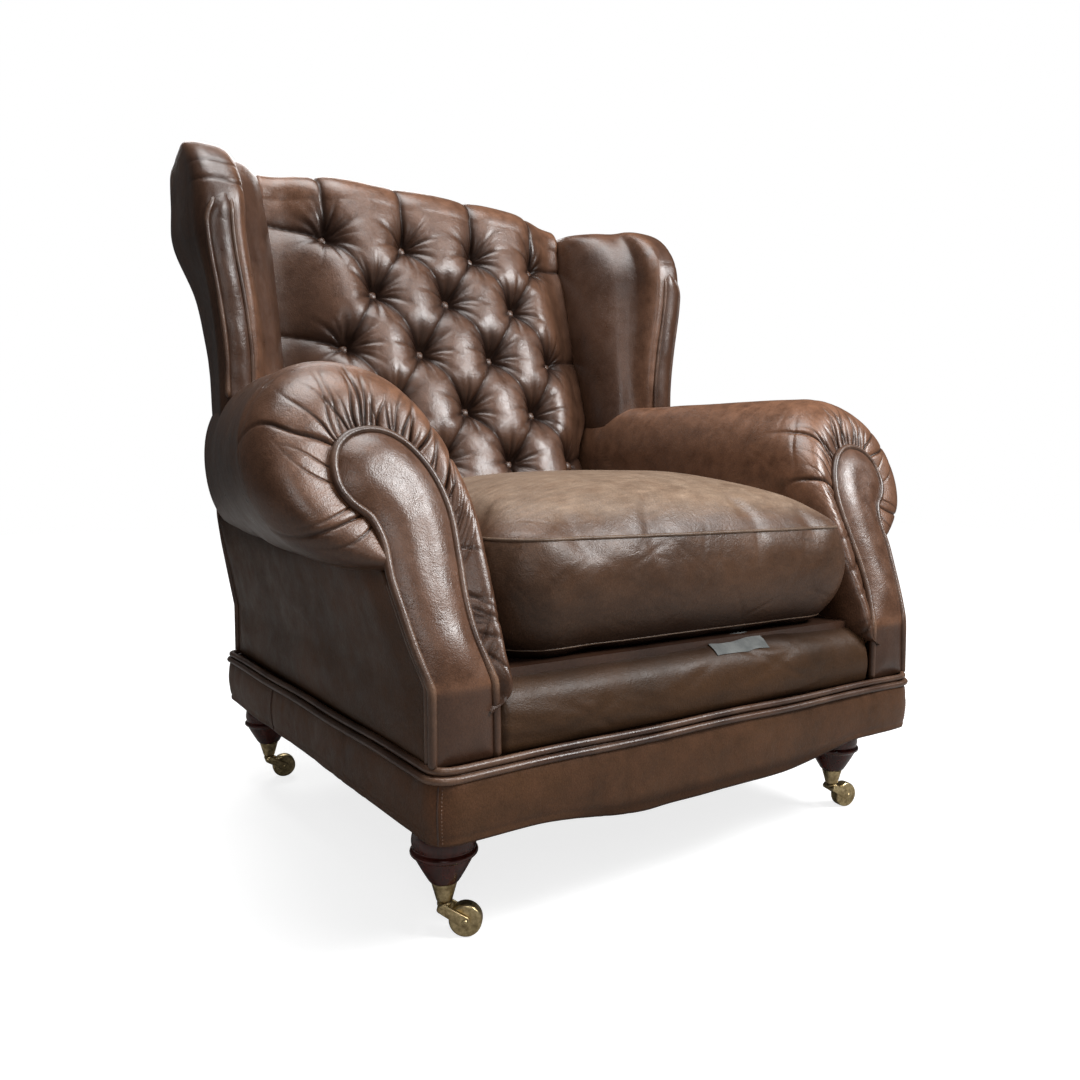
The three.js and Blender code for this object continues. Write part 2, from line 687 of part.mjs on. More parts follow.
// Outer face of the wing, a flat plane
function wingOuter(y, z) {
  return armInner + WING_FRONT_OFFSET + WING_FLARE * (z - WING_FLARE_START) - WING_TOE * (y - wingFrontY);
}

function addWings() {
  const skin = OUTSIDE_WING_THICKNESS + GAP;
  const boardSkin = skin + WING_BOARD_THICKNESS + GAP;
  const padInner = padHalfUpper + 2 * PAD_GAP;
  const overFrame = FRAME_TOP + 2 * PAD_GAP;
  const armEnvelope = toBody(loft(armRings(PAD_GAP), [0, 2]));

  const cornerStart = WING_TOP - WING_CORNER_HEIGHT;
  const halfway = mix(wingBottom, cornerStart, 0.5);
  const levels = [wingBottom, halfway, cornerStart, mix(cornerStart, FRAME_TOP, 0.55)];
  const padLevels = [...levels, FRAME_TOP, overFrame, mix(overFrame, WING_TOP, 0.6), WING_TOP];
  const padRings = padLevels.map((z) => {
    const front = wingFront(z);
    const outer = (y) => wingOuter(y, z) - skin - 5 * PAD_GAP;
    const above = z > FRAME_TOP;
    const rear = above ? postRear(z) : postFront(z) - GAP;
    const noseEnd = front + WING_NOSE - GAP;
    const face = (y) => (above ? outer(y) : wingOuter(y, z) - boardSkin);
    return [
      [padInner, rear, z],
      [padInner, padFace(z) + WING_NOSE, z],
      [mix(padInner, outer(front), 0.45), front + WING_NOSE, z],
      [mix(padInner, outer(front), 0.6), front + WING_NOSE / 4, z],
      [mix(padInner, outer(front), 0.8), front, z],
      [outer(front + WING_NOSE / 2), front + WING_NOSE / 2, z],
      [outer(noseEnd), noseEnd, z],
      [face(noseEnd), noseEnd + (above ? WING_NOSE : 0), z],
      [face(rear), rear, z],
    ];
  });
  const pad = toBody(loft(padRings, [0, 1])).subtract(armEnvelope);
  addPair('wing_pad', toGeometry(pad), leather);

  // A slab of the wing between two depths under its outer face
  const slab = (slabLevels, frontInset, rearAt, outside, thickness) => {
    const rings = slabLevels.map((z) => {
      const front = wingFront(z) + frontInset;
      const rear = rearAt(z);
      const face = (y) => wingOuter(y, z) - outside;
      return [
        [face(front) - thickness, front, z],
        [face(rear) - thickness, rear, z],
        [face(rear), rear, z],
        [face(front), front, z],
      ];
    });
    return toGeometry(toBody(loft(rings, [0, 1])).subtract(armEnvelope));
  };
  const boardLevels = [...levels, FRAME_TOP];
  const boardRear = (z) => postFront(z) - GAP;
  addPair('wing_board', slab(boardLevels, WING_NOSE, boardRear, skin, WING_BOARD_THICKNESS), beech);
  const panelLevels = [...boardLevels, mix(FRAME_TOP, WING_TOP, 0.6)];
  addPair('outside_wing', slab(panelLevels, WING_NOSE / 2, postRear, 0, OUTSIDE_WING_THICKNESS), leather);
}

// Back

function addBack() {
  const postOuter = postInner + POST_WIDTH;
  const shoulder = wingBottom + POST_WIDTH;
  const postRings = [railTop + GAP, BACK_KNEE, wingBottom, shoulder, FRAME_TOP].map((z) => {
    const upper = wingOuter(postRear(z), z) - OUTSIDE_WING_THICKNESS - PAD_GAP;
    const outer = z < shoulder ? postOuter : upper;
    return [
      [postInner, postFront(z), z],
      [outer, postFront(z), z],
      [outer, postRear(z) - GAP, z],
      [postInner, postRear(z) - GAP, z],
    ];
  });
  addPair('back_post', loft(postRings, [0, 1]), beech);

  const railHalf = postInner - GAP;
  const railRings = (bottom, top) => [bottom, top].map((z) => [
    [-railHalf, postFront(z), z],
    [railHalf, postFront(z), z],
    [railHalf, postRear(z) - GAP, z],
    [-railHalf, postRear(z) - GAP, z],
  ]);
  add('back_top_rail', loft(railRings(FRAME_TOP - TOP_RAIL_HEIGHT, FRAME_TOP), [0, 1]), beech);
  const lowerRail = railRings(LOWER_RAIL_BOTTOM, LOWER_RAIL_BOTTOM + LOWER_RAIL_HEIGHT);
  add('back_lower_rail', loft(lowerRail, [0, 1]), beech);

  const columns = 8;
  const crest = (share) => BACK_CREST - CREST_FALL * share * share;
  const ring = (half, height, front, rear) => {
    const points = [];
    for (let column = 0; column <= columns; column++) {
      const share = (2 * column) / columns - 1;
      const z = height(share);
      points.push([half * share, front(z), z]);
    }
    for (let column = columns; column >= 0; column--) {
      const share = (2 * column) / columns - 1;
      const z = height(share);
      points.push([half * share, rear(z), z]);
    }
    return points;
  };
  const inFront = (z) => postFront(z) - GAP;
  const overFrame = FRAME_TOP + 2 * PAD_GAP;
  const shoulderLine = (share) => mix(overFrame, crest(share), 0.6);
  const spreadStart = ROLL_CENTRE_HEIGHT + PAD_SPREAD_RISE;
  const spreadEnd = spreadStart + PAD_SPREAD_HEIGHT;
  const halfAt = (z) => {
    const share = THREE.MathUtils.clamp((z - spreadStart) / PAD_SPREAD_HEIGHT, 0, 1);
    return mix(padHalf, padHalfUpper, share);
  };
  const bends = new Set([deckTop + GAP, BACK_KNEE, spreadStart, spreadEnd, FRAME_TOP]);
  const faceLevels = [...bends].sort((lower, upper) => lower - upper);
  const rings = [
    ...faceLevels.map((z) => ring(halfAt(z), () => z, padFace, inFront)),
    ring(padHalfUpper, () => overFrame, padFace, postRear),
    ring(padHalfUpper, shoulderLine, (z) => padFace(z) + PAD_ROUND / 4, postRear),
    ring(padHalfUpper, crest, (z) => padFace(z) + PAD_ROUND, (z) => postRear(z) - PAD_ROUND / 2),
  ];
  add('back_pad', loft(rings), leather);

  const lowerHalf = blockOuter - OUTSIDE_ARM_TAPER;
  const panelLevels = [plinthTop + GAP, plinthTop + OUTSIDE_ARM_HEIGHT, BACK_KNEE, wingBottom, BACK_TOP];
  const panelRings = panelLevels.map((z) => {
    const face = outsideBack(z);
    const half = z < wingBottom ? lowerHalf : wingOuter(face, z);
    return [
      [-half, face - OUTSIDE_BACK_THICKNESS, z],
      [half, face - OUTSIDE_BACK_THICKNESS, z],
      [half, face, z],
      [-half, face, z],
    ];
  });
  add('outside_back', loft(panelRings, [0, 1]), leather);
}

// Feet and castors

function legPlace({ side, end }) {
  const y = end < 0 ? plinthFront + LEG_FRONT_INSET : plinthRear - LEG_REAR_INSET;
  return [side * (plinthSide - LEG_SIDE_INSET), y];
}

function cupRadius(z) {
  return mix(CUP_FOOT_RADIUS, CUP_RIM_RADIUS, (z - cupBottom) / (cupRimHeight - cupBottom));
}

function legGeometry() {
  const spigotBottom = cupBottom + CUP_FLOOR + PIN_HEAD_HEIGHT + 3 * GAP;
  const inside = CUP_WALL + GAP;
  const shoulder = cupRimHeight + GAP;
  const top = PLINTH_BOTTOM - 2 * GAP;
  const rise = (share) => mix(shoulder, top, share);
  return turned([
    [0, spigotBottom],
    [cupRadius(spigotBottom) - inside, spigotBottom],
    [CUP_RIM_RADIUS - inside, shoulder],
    [CUP_RIM_RADIUS + 2, shoulder],
    [CUP_RIM_RADIUS + 5, rise(0.1)],
    [LEG_RADIUS - 5, rise(0.33)],
    [LEG_RADIUS, rise(0.45)],
    [LEG_RADIUS - 2, rise(0.54)],
    [LEG_WAIST_RADIUS, rise(0.64)],
    [LEG_TOP_RADIUS, rise(0.8)],
    [LEG_TOP_RADIUS, top],
    [LEG_DOWEL_RADIUS, top],
    [LEG_DOWEL_RADIUS, railBottom - GAP],
    [0, railBottom - GAP],
  ], LEG_FACETS);
}

function cupGeometry() {
  const hole = PIN_RADIUS + PIN_CLEARANCE;
  const floor = cupBottom + CUP_FLOOR;
  return turned([
    [hole, cupBottom],
    [CUP_FOOT_RADIUS, cupBottom],
    [CUP_RIM_RADIUS, cupRimHeight],
    [CUP_RIM_RADIUS - CUP_WALL, cupRimHeight],
    [cupRadius(floor) - CUP_WALL, floor],
    [hole, floor],
    [hole, cupBottom],
  ], SMALL_FACETS);
}

// The wheel lies across the trail direction with a flat facet on the floor
function wheelGeometry() {
  const rim = WHEEL_RADIUS / Math.cos(Math.PI / WHEEL_FACETS);
  const hole = PIN_RADIUS + PIN_CLEARANCE;
  const half = WHEEL_WIDTH / 2;
  const wheel = turned([
    [hole, -half],
    [rim - WHEEL_CHAMFER, -half],
    [rim, -half + WHEEL_CHAMFER],
    [rim, half - WHEEL_CHAMFER],
    [rim - WHEEL_CHAMFER, half],
    [hole, half],
    [hole, -half],
  ], WHEEL_FACETS);
  wheel.rotateZ(Math.PI / WHEEL_FACETS);
  wheel.rotateX(Math.PI / 2);
  wheel.translate(wheelTrail, 0, WHEEL_RADIUS);
  return wheel;
}

// The fork carries the swivel pin, two cheeks and the riveted axle
function forkGeometry() {
  const top = cupBottom - GAP;
  const headBottom = cupBottom + CUP_FLOOR + GAP;
  const cheekInner = WHEEL_WIDTH / 2 + FORK_SIDE_GAP;
  const cheekOuter = cheekInner + FORK_CHEEK;
  const crown = turned([
    [0, top - 6],
    [CUP_FOOT_RADIUS, top - 6],
    [CUP_FOOT_RADIUS, top],
    [PIN_RADIUS, top],
    [PIN_RADIUS, headBottom],
    [PIN_HEAD_RADIUS, headBottom],
    [PIN_HEAD_RADIUS, headBottom + PIN_HEAD_HEIGHT],
    [0, headBottom + PIN_HEAD_HEIGHT],
  ], SMALL_FACETS);
  const bridge = box(-CUP_FOOT_RADIUS + 1, 3.5, -cheekOuter, cheekOuter, top - 10, top - 2);
  let fork = toBody(crown).add(toBody(bridge));

  const cheek = new THREE.Shape();
  cheek.moveTo(-CUP_FOOT_RADIUS + 1.5, top - 2.5);
  cheek.lineTo(9, top - 3);
  cheek.lineTo(wheelTrail + 6, WHEEL_RADIUS + 5);
  cheek.lineTo(wheelTrail + 7, WHEEL_RADIUS - 1);
  cheek.lineTo(wheelTrail + 3, WHEEL_RADIUS - 6);
  cheek.lineTo(wheelTrail - 4, WHEEL_RADIUS - 6);
  cheek.lineTo(-CUP_FOOT_RADIUS + 4, top - 12);
  cheek.lineTo(-CUP_FOOT_RADIUS + 1.5, top - 9);
  for (const middle of [-(cheekInner + cheekOuter) / 2, (cheekInner + cheekOuter) / 2]) {
    const plate = new THREE.ExtrudeGeometry(cheek, { depth: FORK_CHEEK, bevelEnabled: false });
    plate.rotateX(Math.PI / 2);
    plate.translate(0, middle + FORK_CHEEK / 2, 0);
    fork = fork.add(toBody(plate));
  }

  const axle = turned([
    [0, -cheekOuter - AXLE_HEAD],
    [PIN_RADIUS + 1, -cheekOuter - AXLE_HEAD],
    [PIN_RADIUS + 1, -cheekInner - 0.5],
    [PIN_RADIUS, -cheekInner - 0.5],
    [PIN_RADIUS, cheekInner + 0.5],
    [PIN_RADIUS + 1, cheekInner + 0.5],
    [PIN_RADIUS + 1, cheekOuter + AXLE_HEAD],
    [0, cheekOuter + AXLE_HEAD],
  ], SMALL_FACETS);
  axle.rotateX(Math.PI / 2);
  axle.translate(wheelTrail, 0, WHEEL_RADIUS);
  return toGeometry(fork.add(toBody(axle)));
}

function addFeet() {
  for (const castor of CASTORS) {
    const [x, y] = legPlace(castor);
    const turn = THREE.MathUtils.degToRad(castor.angle);
    const pieces = [
      ['leg', toGeometry(toBody(legGeometry())), mahogany, 0],
      ['castor_cup', toGeometry(toBody(cupGeometry())), brass, 0],
      ['castor_fork', forkGeometry(), brass, turn],
      ['castor_wheel', toGeometry(toBody(wheelGeometry())), brass, turn],
    ];
    for (const [name, geometry, look, swing] of pieces) {
      geometry.rotateZ(swing);
      geometry.translate(x, y, 0);
      add(`${name}_${castor.name}`, geometry, look);
    }
  }
}

addFeet();
addSeatFrame();
addSeat();
addArms();
addWings();
addBack();

export default chair;
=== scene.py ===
"""Looks of a worn leather club chair: upholstery, piping, buttons, turned feet and castors."""
import math

import bpy
import numpy as np
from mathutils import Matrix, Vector


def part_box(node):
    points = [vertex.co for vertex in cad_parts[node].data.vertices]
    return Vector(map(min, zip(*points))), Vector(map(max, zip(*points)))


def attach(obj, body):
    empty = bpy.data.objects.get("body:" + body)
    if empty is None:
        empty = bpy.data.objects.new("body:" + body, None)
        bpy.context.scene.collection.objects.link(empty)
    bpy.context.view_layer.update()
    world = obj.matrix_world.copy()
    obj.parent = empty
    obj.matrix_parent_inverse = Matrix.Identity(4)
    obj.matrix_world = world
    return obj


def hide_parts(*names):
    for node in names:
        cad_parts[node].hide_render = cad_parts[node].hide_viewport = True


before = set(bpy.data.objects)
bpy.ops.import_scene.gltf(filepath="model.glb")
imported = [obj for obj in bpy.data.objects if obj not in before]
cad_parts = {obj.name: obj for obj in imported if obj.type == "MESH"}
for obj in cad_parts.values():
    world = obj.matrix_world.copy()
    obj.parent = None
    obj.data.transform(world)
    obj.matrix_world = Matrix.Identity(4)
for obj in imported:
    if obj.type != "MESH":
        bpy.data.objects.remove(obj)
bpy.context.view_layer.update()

# Places shared by the pieces, in metres
PLINTH_SIDE = 0.4103
PLINTH_FRONT = -0.4497
PLINTH_REAR = 0.3323
PLINTH_BOTTOM = 0.145
PLINTH_TOP = 0.226
PLINTH_CORNER = 0.022
BLOCK_FRONT = -0.4397
BLOCK_TOP = 0.3128
FACING_LEAN = 0.4245
BACK_KNEE = 0.600
BACK_SLOPE = 0.28
WING_FRONT = 0.1473
WING_TOP = 1.072
SIDES = {"left": -1, "right": 1}
DIAGONAL = 0.7071


# Numbers, noise and curves

def smooth(low, high, value):
    """Rises from 0 at low to 1 at high, or falls where low is the larger."""
    share = np.clip((np.asarray(value, float) - low) / (high - low), 0, 1)
    return share * share * (3 - 2 * share)


def hump(value, width):
    return np.exp(-(np.asarray(value, float) / width) ** 2)


def noise(points, scale, seed=0):
    """Smooth noise from -1 to 1 at an array of points."""
    spots = np.asarray(points, float) * scale + 31.7 * (seed + 1)
    cell = np.floor(spots).astype(np.int64)
    part = spots - cell
    part = part * part * (3 - 2 * part)
    total = np.zeros(len(spots))
    for corner in range(8):
        step = np.array([corner & 1, corner >> 1 & 1, corner >> 2 & 1])
        key = (cell + step) & 0xFFFF
        mixed = key[:, 0] * 73856093 ^ key[:, 1] * 19349663 ^ key[:, 2] * 83492791
        mixed = (mixed ^ mixed >> 13) * 1274126177 & 0x7FFFFFFF
        mixed = mixed ^ mixed >> 15
        value = (mixed & 0xFFFF) / 32767.5 - 1
        total += value * np.prod(np.where(step, part, 1 - part), axis=1)
    return total


def fractal(points, scale, seed=0, octaves=2):
    total = np.zeros(len(points))
    for octave in range(octaves):
        total += noise(points, scale * 2 ** octave, seed + octave) / 2 ** octave
    return total


def strokes(u, v, seed, count, area, slant, long, wide):
    """Random folds on a flat chart, 1 in the middle of a fold and 0 away from all of them."""
    rng = np.random.default_rng(seed)
    total = np.zeros(len(u))
    for _ in range(count):
        start = rng.uniform(area[0], area[1]), rng.uniform(area[2], area[3])
        angle = math.radians(rng.uniform(*slant))
        half = rng.uniform(*long) / 2
        along = (u - start[0]) * math.cos(angle) + (v - start[1]) * math.sin(angle)
        off = (v - start[1]) * math.cos(angle) - (u - start[0]) * math.sin(angle)
        off = off - rng.uniform(-1.5, 1.5) * along ** 2
        deep = rng.uniform(0.35, 1)
        line = deep * hump(off, wide * rng.uniform(0.7, 1.4)) * np.exp(-(along / half) ** 4)
        total = np.maximum(total, line)
    return total


def curve(points, knots, at):
    """Smooth curve through points, which lie at the knots."""
    points = np.asarray(points, float)
    slope = np.gradient(points, knots, axis=0)
    first = np.clip(np.searchsorted(knots, at, side="right") - 1, 0, len(knots) - 2)
    span = (knots[first + 1] - knots[first])[:, None]
    share = ((at - knots[first]) / span[:, 0])[:, None]
    return (points[first] * (1 + 2 * share) * (1 - share) ** 2
            + slope[first] * span * share * (1 - share) ** 2
            + points[first + 1] * share ** 2 * (3 - 2 * share)
            + slope[first + 1] * span * share ** 2 * (share - 1))


def lengths(points):
    steps = np.linalg.norm(np.diff(np.asarray(points, float), axis=0), axis=1)
    return np.concatenate([[0], np.cumsum(steps)])


def spline(points, count):
    knots = lengths(points)
    return curve(points, knots, np.linspace(0, knots[-1], count))


def resample(points, count, closed=False):
    """The same line as count points at even distances; a closed line leaves out its end."""
    points = np.asarray(points, float)
    along = lengths(points)
    at = np.linspace(0, along[-1], count, endpoint=not closed)
    return np.stack([np.interp(at, along, column) for column in points.T], axis=1)


def evenly(points, step):
    return resample(points, max(3, int(lengths(points)[-1] / step) + 1))


def corner_arcs(half, front, rear, radius, steps):
    """Closed line of four arcs round centres at x = half and -half, y = front and rear."""
    points = []
    for x, y, start in ((half, front, -90), (half, rear, 0), (-half, rear, 90), (-half, front, 180)):
        for angle in np.radians(np.linspace(start, start + 90, steps)):
            points.append((x + radius * math.cos(angle), y + radius * math.sin(angle)))
    return np.array(points + points[:1])


def turns(count):
    return np.linspace(0, 2 * math.pi, count, endpoint=False)


def xyz(x, y, z):
    """Points from three arrays, where a single number serves for all points."""
    return np.stack(np.broadcast_arrays(x, y, z), axis=-1).astype(float)


# Meshes

def grid_faces(rows, columns, loop=False):
    index = np.arange(rows * columns).reshape(rows, columns)
    if loop:
        index = np.concatenate([index, index[:, :1]], axis=1)
    corners = [index[:-1, :-1], index[:-1, 1:], index[1:, 1:], index[1:, :-1]]
    return np.stack(corners, axis=-1).reshape(-1, 4)


def ring_faces(rows, columns):
    """Faces of a grid that closes on itself both ways."""
    first = np.arange(columns)
    last = first + (rows - 1) * columns
    closing = np.stack([last, np.roll(last, -1), np.roll(first, -1), first], axis=1)
    return np.concatenate([grid_faces(rows, columns, loop=True), closing])


def face_normals(verts, faces):
    corners = verts[faces]
    return np.cross(corners[:, 2] - corners[:, 0], corners[:, 3] - corners[:, 1])


def vertex_normals(verts, faces):
    flat = face_normals(verts, faces)
    total = np.zeros_like(verts)
    for corner in range(4):
        np.add.at(total, faces[:, corner], flat)
    return total / np.maximum(np.linalg.norm(total, axis=1, keepdims=True), 1e-12)


def outward(verts, faces, inside):
    """Faces turned away from a point inside, or from one point for each face."""
    middle = verts[faces].mean(axis=1)
    if np.sum(face_normals(verts, faces) * (middle - np.asarray(inside))) < 0:
        return faces[:, ::-1]
    return faces


def mirrored(verts, faces, side):
    """A mesh of the right half of the chair on the side where it belongs."""
    if side > 0:
        return verts, faces
    return verts * np.array([-1.0, 1.0, 1.0]), faces[:, ::-1]


def set_layer(mesh, name, values):
    """Writes one number per point, or the same number for all."""
    layer = mesh.attributes.get(name) or mesh.attributes.new(name, "FLOAT", "POINT")
    spread = np.clip(values, 0, 1) + np.zeros(len(layer.data))
    layer.data.foreach_set("value", spread.astype(np.float32))


def make_piece(name, verts, faces, look, body="chair", wear_and_light=0.0, shade=0.0):
    mesh = bpy.data.meshes.new(name)
    mesh.from_pydata(np.asarray(verts, float).tolist(), [], [list(face) for face in faces])
    mesh.polygons.foreach_set("use_smooth", np.ones(len(faces), bool))
    mesh.materials.append(look)
    set_layer(mesh, "wear_and_light", wear_and_light)
    set_layer(mesh, "shade", shade)
    piece = bpy.data.objects.new(name, mesh)
    bpy.context.scene.collection.objects.link(piece)
    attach(piece, body)
    return piece


def joined(parts):
    """Several (verts, faces) as one."""
    starts = np.cumsum([0] + [len(verts) for verts, _ in parts])
    return (np.concatenate([verts for verts, _ in parts]),
            np.concatenate([faces + start for (_, faces), start in zip(parts, starts)]))


def tube(path, radius, closed=False, sides=10):
    """Round cord along a line of points, with tapered ends where it is open."""
    path = np.asarray(path, float)
    if closed:
        ahead = np.roll(path, -1, axis=0) - np.roll(path, 1, axis=0)
    else:
        ahead = np.gradient(path, axis=0)
    ahead /= np.linalg.norm(ahead, axis=1, keepdims=True)
    across = np.zeros_like(path)
    guide = np.array([0.31, 0.17, 0.94])
    for row in range(len(path)):
        guide = guide - ahead[row] * np.dot(guide, ahead[row])
        guide /= np.linalg.norm(guide)
        across[row] = guide
    third = np.cross(ahead, across)
    size = np.full(len(path), radius)
    if not closed:
        size[0] = size[-1] = radius * 0.15
    turn = turns(sides)[None, :, None]
    ring = across[:, None] * np.cos(turn) + third[:, None] * np.sin(turn)
    verts = (path[:, None] + ring * size[:, None, None]).reshape(-1, 3)
    faces = ring_faces(len(path), sides) if closed else grid_faces(len(path), sides, loop=True)
    return verts, outward(verts, faces, path[faces[:, 0] // sides])


def lathe(profile, sides):
    """Turns a line of (radius, height) round the Z axis."""
    profile = np.asarray(profile, float)
    turn = turns(sides)
    radius = np.maximum(profile[:, :1], 1e-5)
    verts = xyz(radius * np.cos(turn), radius * np.sin(turn), profile[:, 1:]).reshape(-1, 3)
    return verts, grid_faces(len(profile), sides, loop=True)


def edge_distance(spots, outline):
    """Signed distance to a closed outline, inside positive, and the nearest point on it."""
    start = np.asarray(outline, float)
    end = np.roll(start, -1, axis=0)
    best = np.full(len(spots), 1e9)
    nearest = np.zeros_like(spots)
    crossed = np.zeros(len(spots), int)
    for a, b in zip(start, end):
        along = b - a
        share = np.clip(((spots - a) @ along) / max(along @ along, 1e-15), 0, 1)
        close = a + share[:, None] * along
        gap = np.linalg.norm(spots - close, axis=1)
        closer = gap < best
        best[closer] = gap[closer]
        nearest[closer] = close[closer]
        spans = (a[1] > spots[:, 1]) != (b[1] > spots[:, 1])
        with np.errstate(divide="ignore", invalid="ignore"):
            meets = a[0] + (spots[:, 1] - a[1]) / (b[1] - a[1]) * along[0]
        crossed += spans & (spots[:, 0] < meets)
    return np.where(crossed % 2 == 1, best, -best), nearest


def panel(outline, step, place, thickness):
    """Closed padded panel: place(spots, distance) gives the front, the back lies a thickness behind it.

    place returns front points and the direction that points out of the panel."""
    outline = np.asarray(outline, float)
    low = outline.min(axis=0) - step
    high = outline.max(axis=0) + step
    counts = np.ceil((high - low) / step).astype(int) + 1
    across = low[0] + step * np.arange(counts[0])
    along = low[1] + step * np.arange(counts[1])
    spots = np.stack(np.meshgrid(across, along, indexing="ij"), axis=-1).reshape(-1, 2)
    distance, nearest = edge_distance(spots, outline)
    faces = grid_faces(counts[0], counts[1])
    faces = faces[(distance[faces] > -0.5 * step).all(axis=1)]
    snapped = distance < 0.45 * step
    spots[snapped] = nearest[snapped]
    distance = np.where(snapped, 0, distance)
    used = np.unique(faces)
    renumber = np.full(len(spots), -1)
    renumber[used] = np.arange(len(used))
    faces = renumber[faces]
    spots = spots[used]
    distance = distance[used]
    front, out = place(spots, distance)
    back = place(spots, np.zeros(len(spots)))[0] - out * thickness
    edges = np.concatenate([faces[:, [corner, (corner + 1) % 4]] for corner in range(4)])
    keys = np.sort(edges, axis=1)
    _, index, times = np.unique(keys, axis=0, return_index=True, return_counts=True)
    rim = edges[index[times == 1]]
    count = len(front)
    wall = np.stack([rim[:, 1], rim[:, 0], rim[:, 0] + count, rim[:, 1] + count], axis=1)
    faces = np.concatenate([faces, faces[:, ::-1] + count, wall])
    verts = np.concatenate([front, back])
    if np.sum(face_normals(verts, faces[:1]) * out[faces[0][0]]) < 0:
        faces = faces[:, ::-1]
    return verts, faces, np.concatenate([distance, np.zeros(count)])


def read(piece, what="co"):
    flat = np.zeros(len(piece.data.vertices) * 3)
    piece.data.vertices.foreach_get(what, flat)
    return flat.reshape(-1, 3)


def write_verts(piece, verts):
    piece.data.vertices.foreach_set("co", verts.ravel())
    piece.data.update()


def cast(piece, start, direction):
    """Where a ray meets a piece, or its start where it misses."""
    hit, spot, _, _ = piece.ray_cast(Vector(start), Vector(direction))
    return np.array(spot if hit else start)


def apply_modifiers(piece):
    graph = bpy.context.evaluated_depsgraph_get()
    graph.update()
    baked = bpy.data.meshes.new_from_object(piece.evaluated_get(graph), preserve_all_data_layers=True,
                                            depsgraph=graph)
    old = piece.data
    piece.modifiers.clear()
    piece.data = baked
    bpy.data.meshes.remove(old)


def modify(piece, kind, **settings):
    modifier = piece.modifiers.new(kind.lower(), kind)
    for key, value in settings.items():
        setattr(modifier, key, value)
    apply_modifiers(piece)


def soften(piece, rounds):
    modify(piece, "SMOOTH", factor=0.5, iterations=rounds)


def round_piece(piece, voxel, rounds):
    """Evens the mesh and rounds its edges."""
    modify(piece, "REMESH", mode="VOXEL", voxel_size=voxel, use_smooth_shade=True)
    soften(piece, rounds)


def swell_piece(piece, cap):
    """Blows a piece up as cloth, each point moving at most cap metres."""
    last_frame = 20
    before = read(piece)
    modifier = piece.modifiers.new("swell", "CLOTH")
    settings = modifier.settings
    settings.quality = 5
    settings.mass = 0.4
    settings.tension_stiffness = 18
    settings.compression_stiffness = 18
    settings.shear_stiffness = 8
    settings.bending_stiffness = 1.2
    settings.use_pressure = True
    settings.uniform_pressure_force = 4
    settings.effector_weights.gravity = 0
    modifier.point_cache.frame_start = 1
    modifier.point_cache.frame_end = last_frame
    scene = bpy.context.scene
    for number in range(1, last_frame + 1):
        scene.frame_set(number)
        bpy.context.evaluated_depsgraph_get().update()
    apply_modifiers(piece)
    scene.frame_set(1)
    moved = read(piece) - before
    far = np.linalg.norm(moved, axis=1, keepdims=True)
    write_verts(piece, before + moved * np.minimum(1, cap / np.maximum(far, 1e-9)))


# Materials

STREAK_TURNS = ((0, 0, 0.6), (0, 0, -0.9))
# Colour of painted shade, towards which the shade layer darkens the leather
PAINTED_SHADE = (0.012, 0.006, 0.004, 1)


def empty_tree(owner):
    owner.use_nodes = True
    owner.node_tree.nodes.clear()
    return owner.node_tree


def plug(tree, made, sockets):
    for key, value in sockets.items():
        if isinstance(value, bpy.types.NodeSocket):
            tree.links.new(value, made.inputs[key])
        else:
            made.inputs[key].default_value = value


def node(tree, kind, sockets=None, **settings):
    made = tree.nodes.new(kind)
    for key, value in settings.items():
        setattr(made, key, value)
    plug(tree, made, sockets or {})
    return made


def ramp(tree, factor, *stops):
    """Runs from one (place, colour) to the next along a factor; a plain number is a grey."""
    made = node(tree, "ShaderNodeValToRGB", {"Fac": factor})
    for element, (place, colour) in zip(made.color_ramp.elements, stops):
        element.position = place
        element.color = (*np.broadcast_to(colour, 3), 1)
    return made.outputs["Color"]


def clouds(tree, spot, scale, detail, roughness=0.5, distortion=0.0):
    made = node(tree, "ShaderNodeTexNoise", {"Vector": spot, "Scale": scale, "Detail": detail,
                                             "Roughness": roughness, "Distortion": distortion})
    return made.outputs["Fac"]


def cells(tree, spot, scale, **settings):
    made = node(tree, "ShaderNodeTexVoronoi", {"Vector": spot, "Scale": scale, "Randomness": 1}, **settings)
    return made.outputs["Distance"]


def stretched(tree, spot, scale, turn=(0, 0, 0)):
    made = node(tree, "ShaderNodeMapping", {"Vector": spot, "Rotation": turn, "Scale": scale})
    return made.outputs["Vector"]


def blend(tree, factor, first, second, kind="MIX"):
    made = node(tree, "ShaderNodeMixRGB", {"Fac": factor, "Color1": first, "Color2": second}, blend_type=kind)
    return made.outputs["Color"]


def bump(tree, height, strength, distance, **sockets):
    sockets.update(Height=height, Strength=strength, Distance=distance)
    made = node(tree, "ShaderNodeBump", sockets)
    return made.outputs["Normal"]


def layer_value(tree, name):
    return node(tree, "ShaderNodeAttribute", attribute_name=name).outputs["Fac"]


def new_look(name):
    look = bpy.data.materials.new(name)
    tree = empty_tree(look)
    shader = node(tree, "ShaderNodeBsdfPrincipled")
    node(tree, "ShaderNodeOutputMaterial", {"Surface": shader.outputs["BSDF"]})
    spot = node(tree, "ShaderNodeTexCoord").outputs["Object"]
    return look, tree, shader, spot


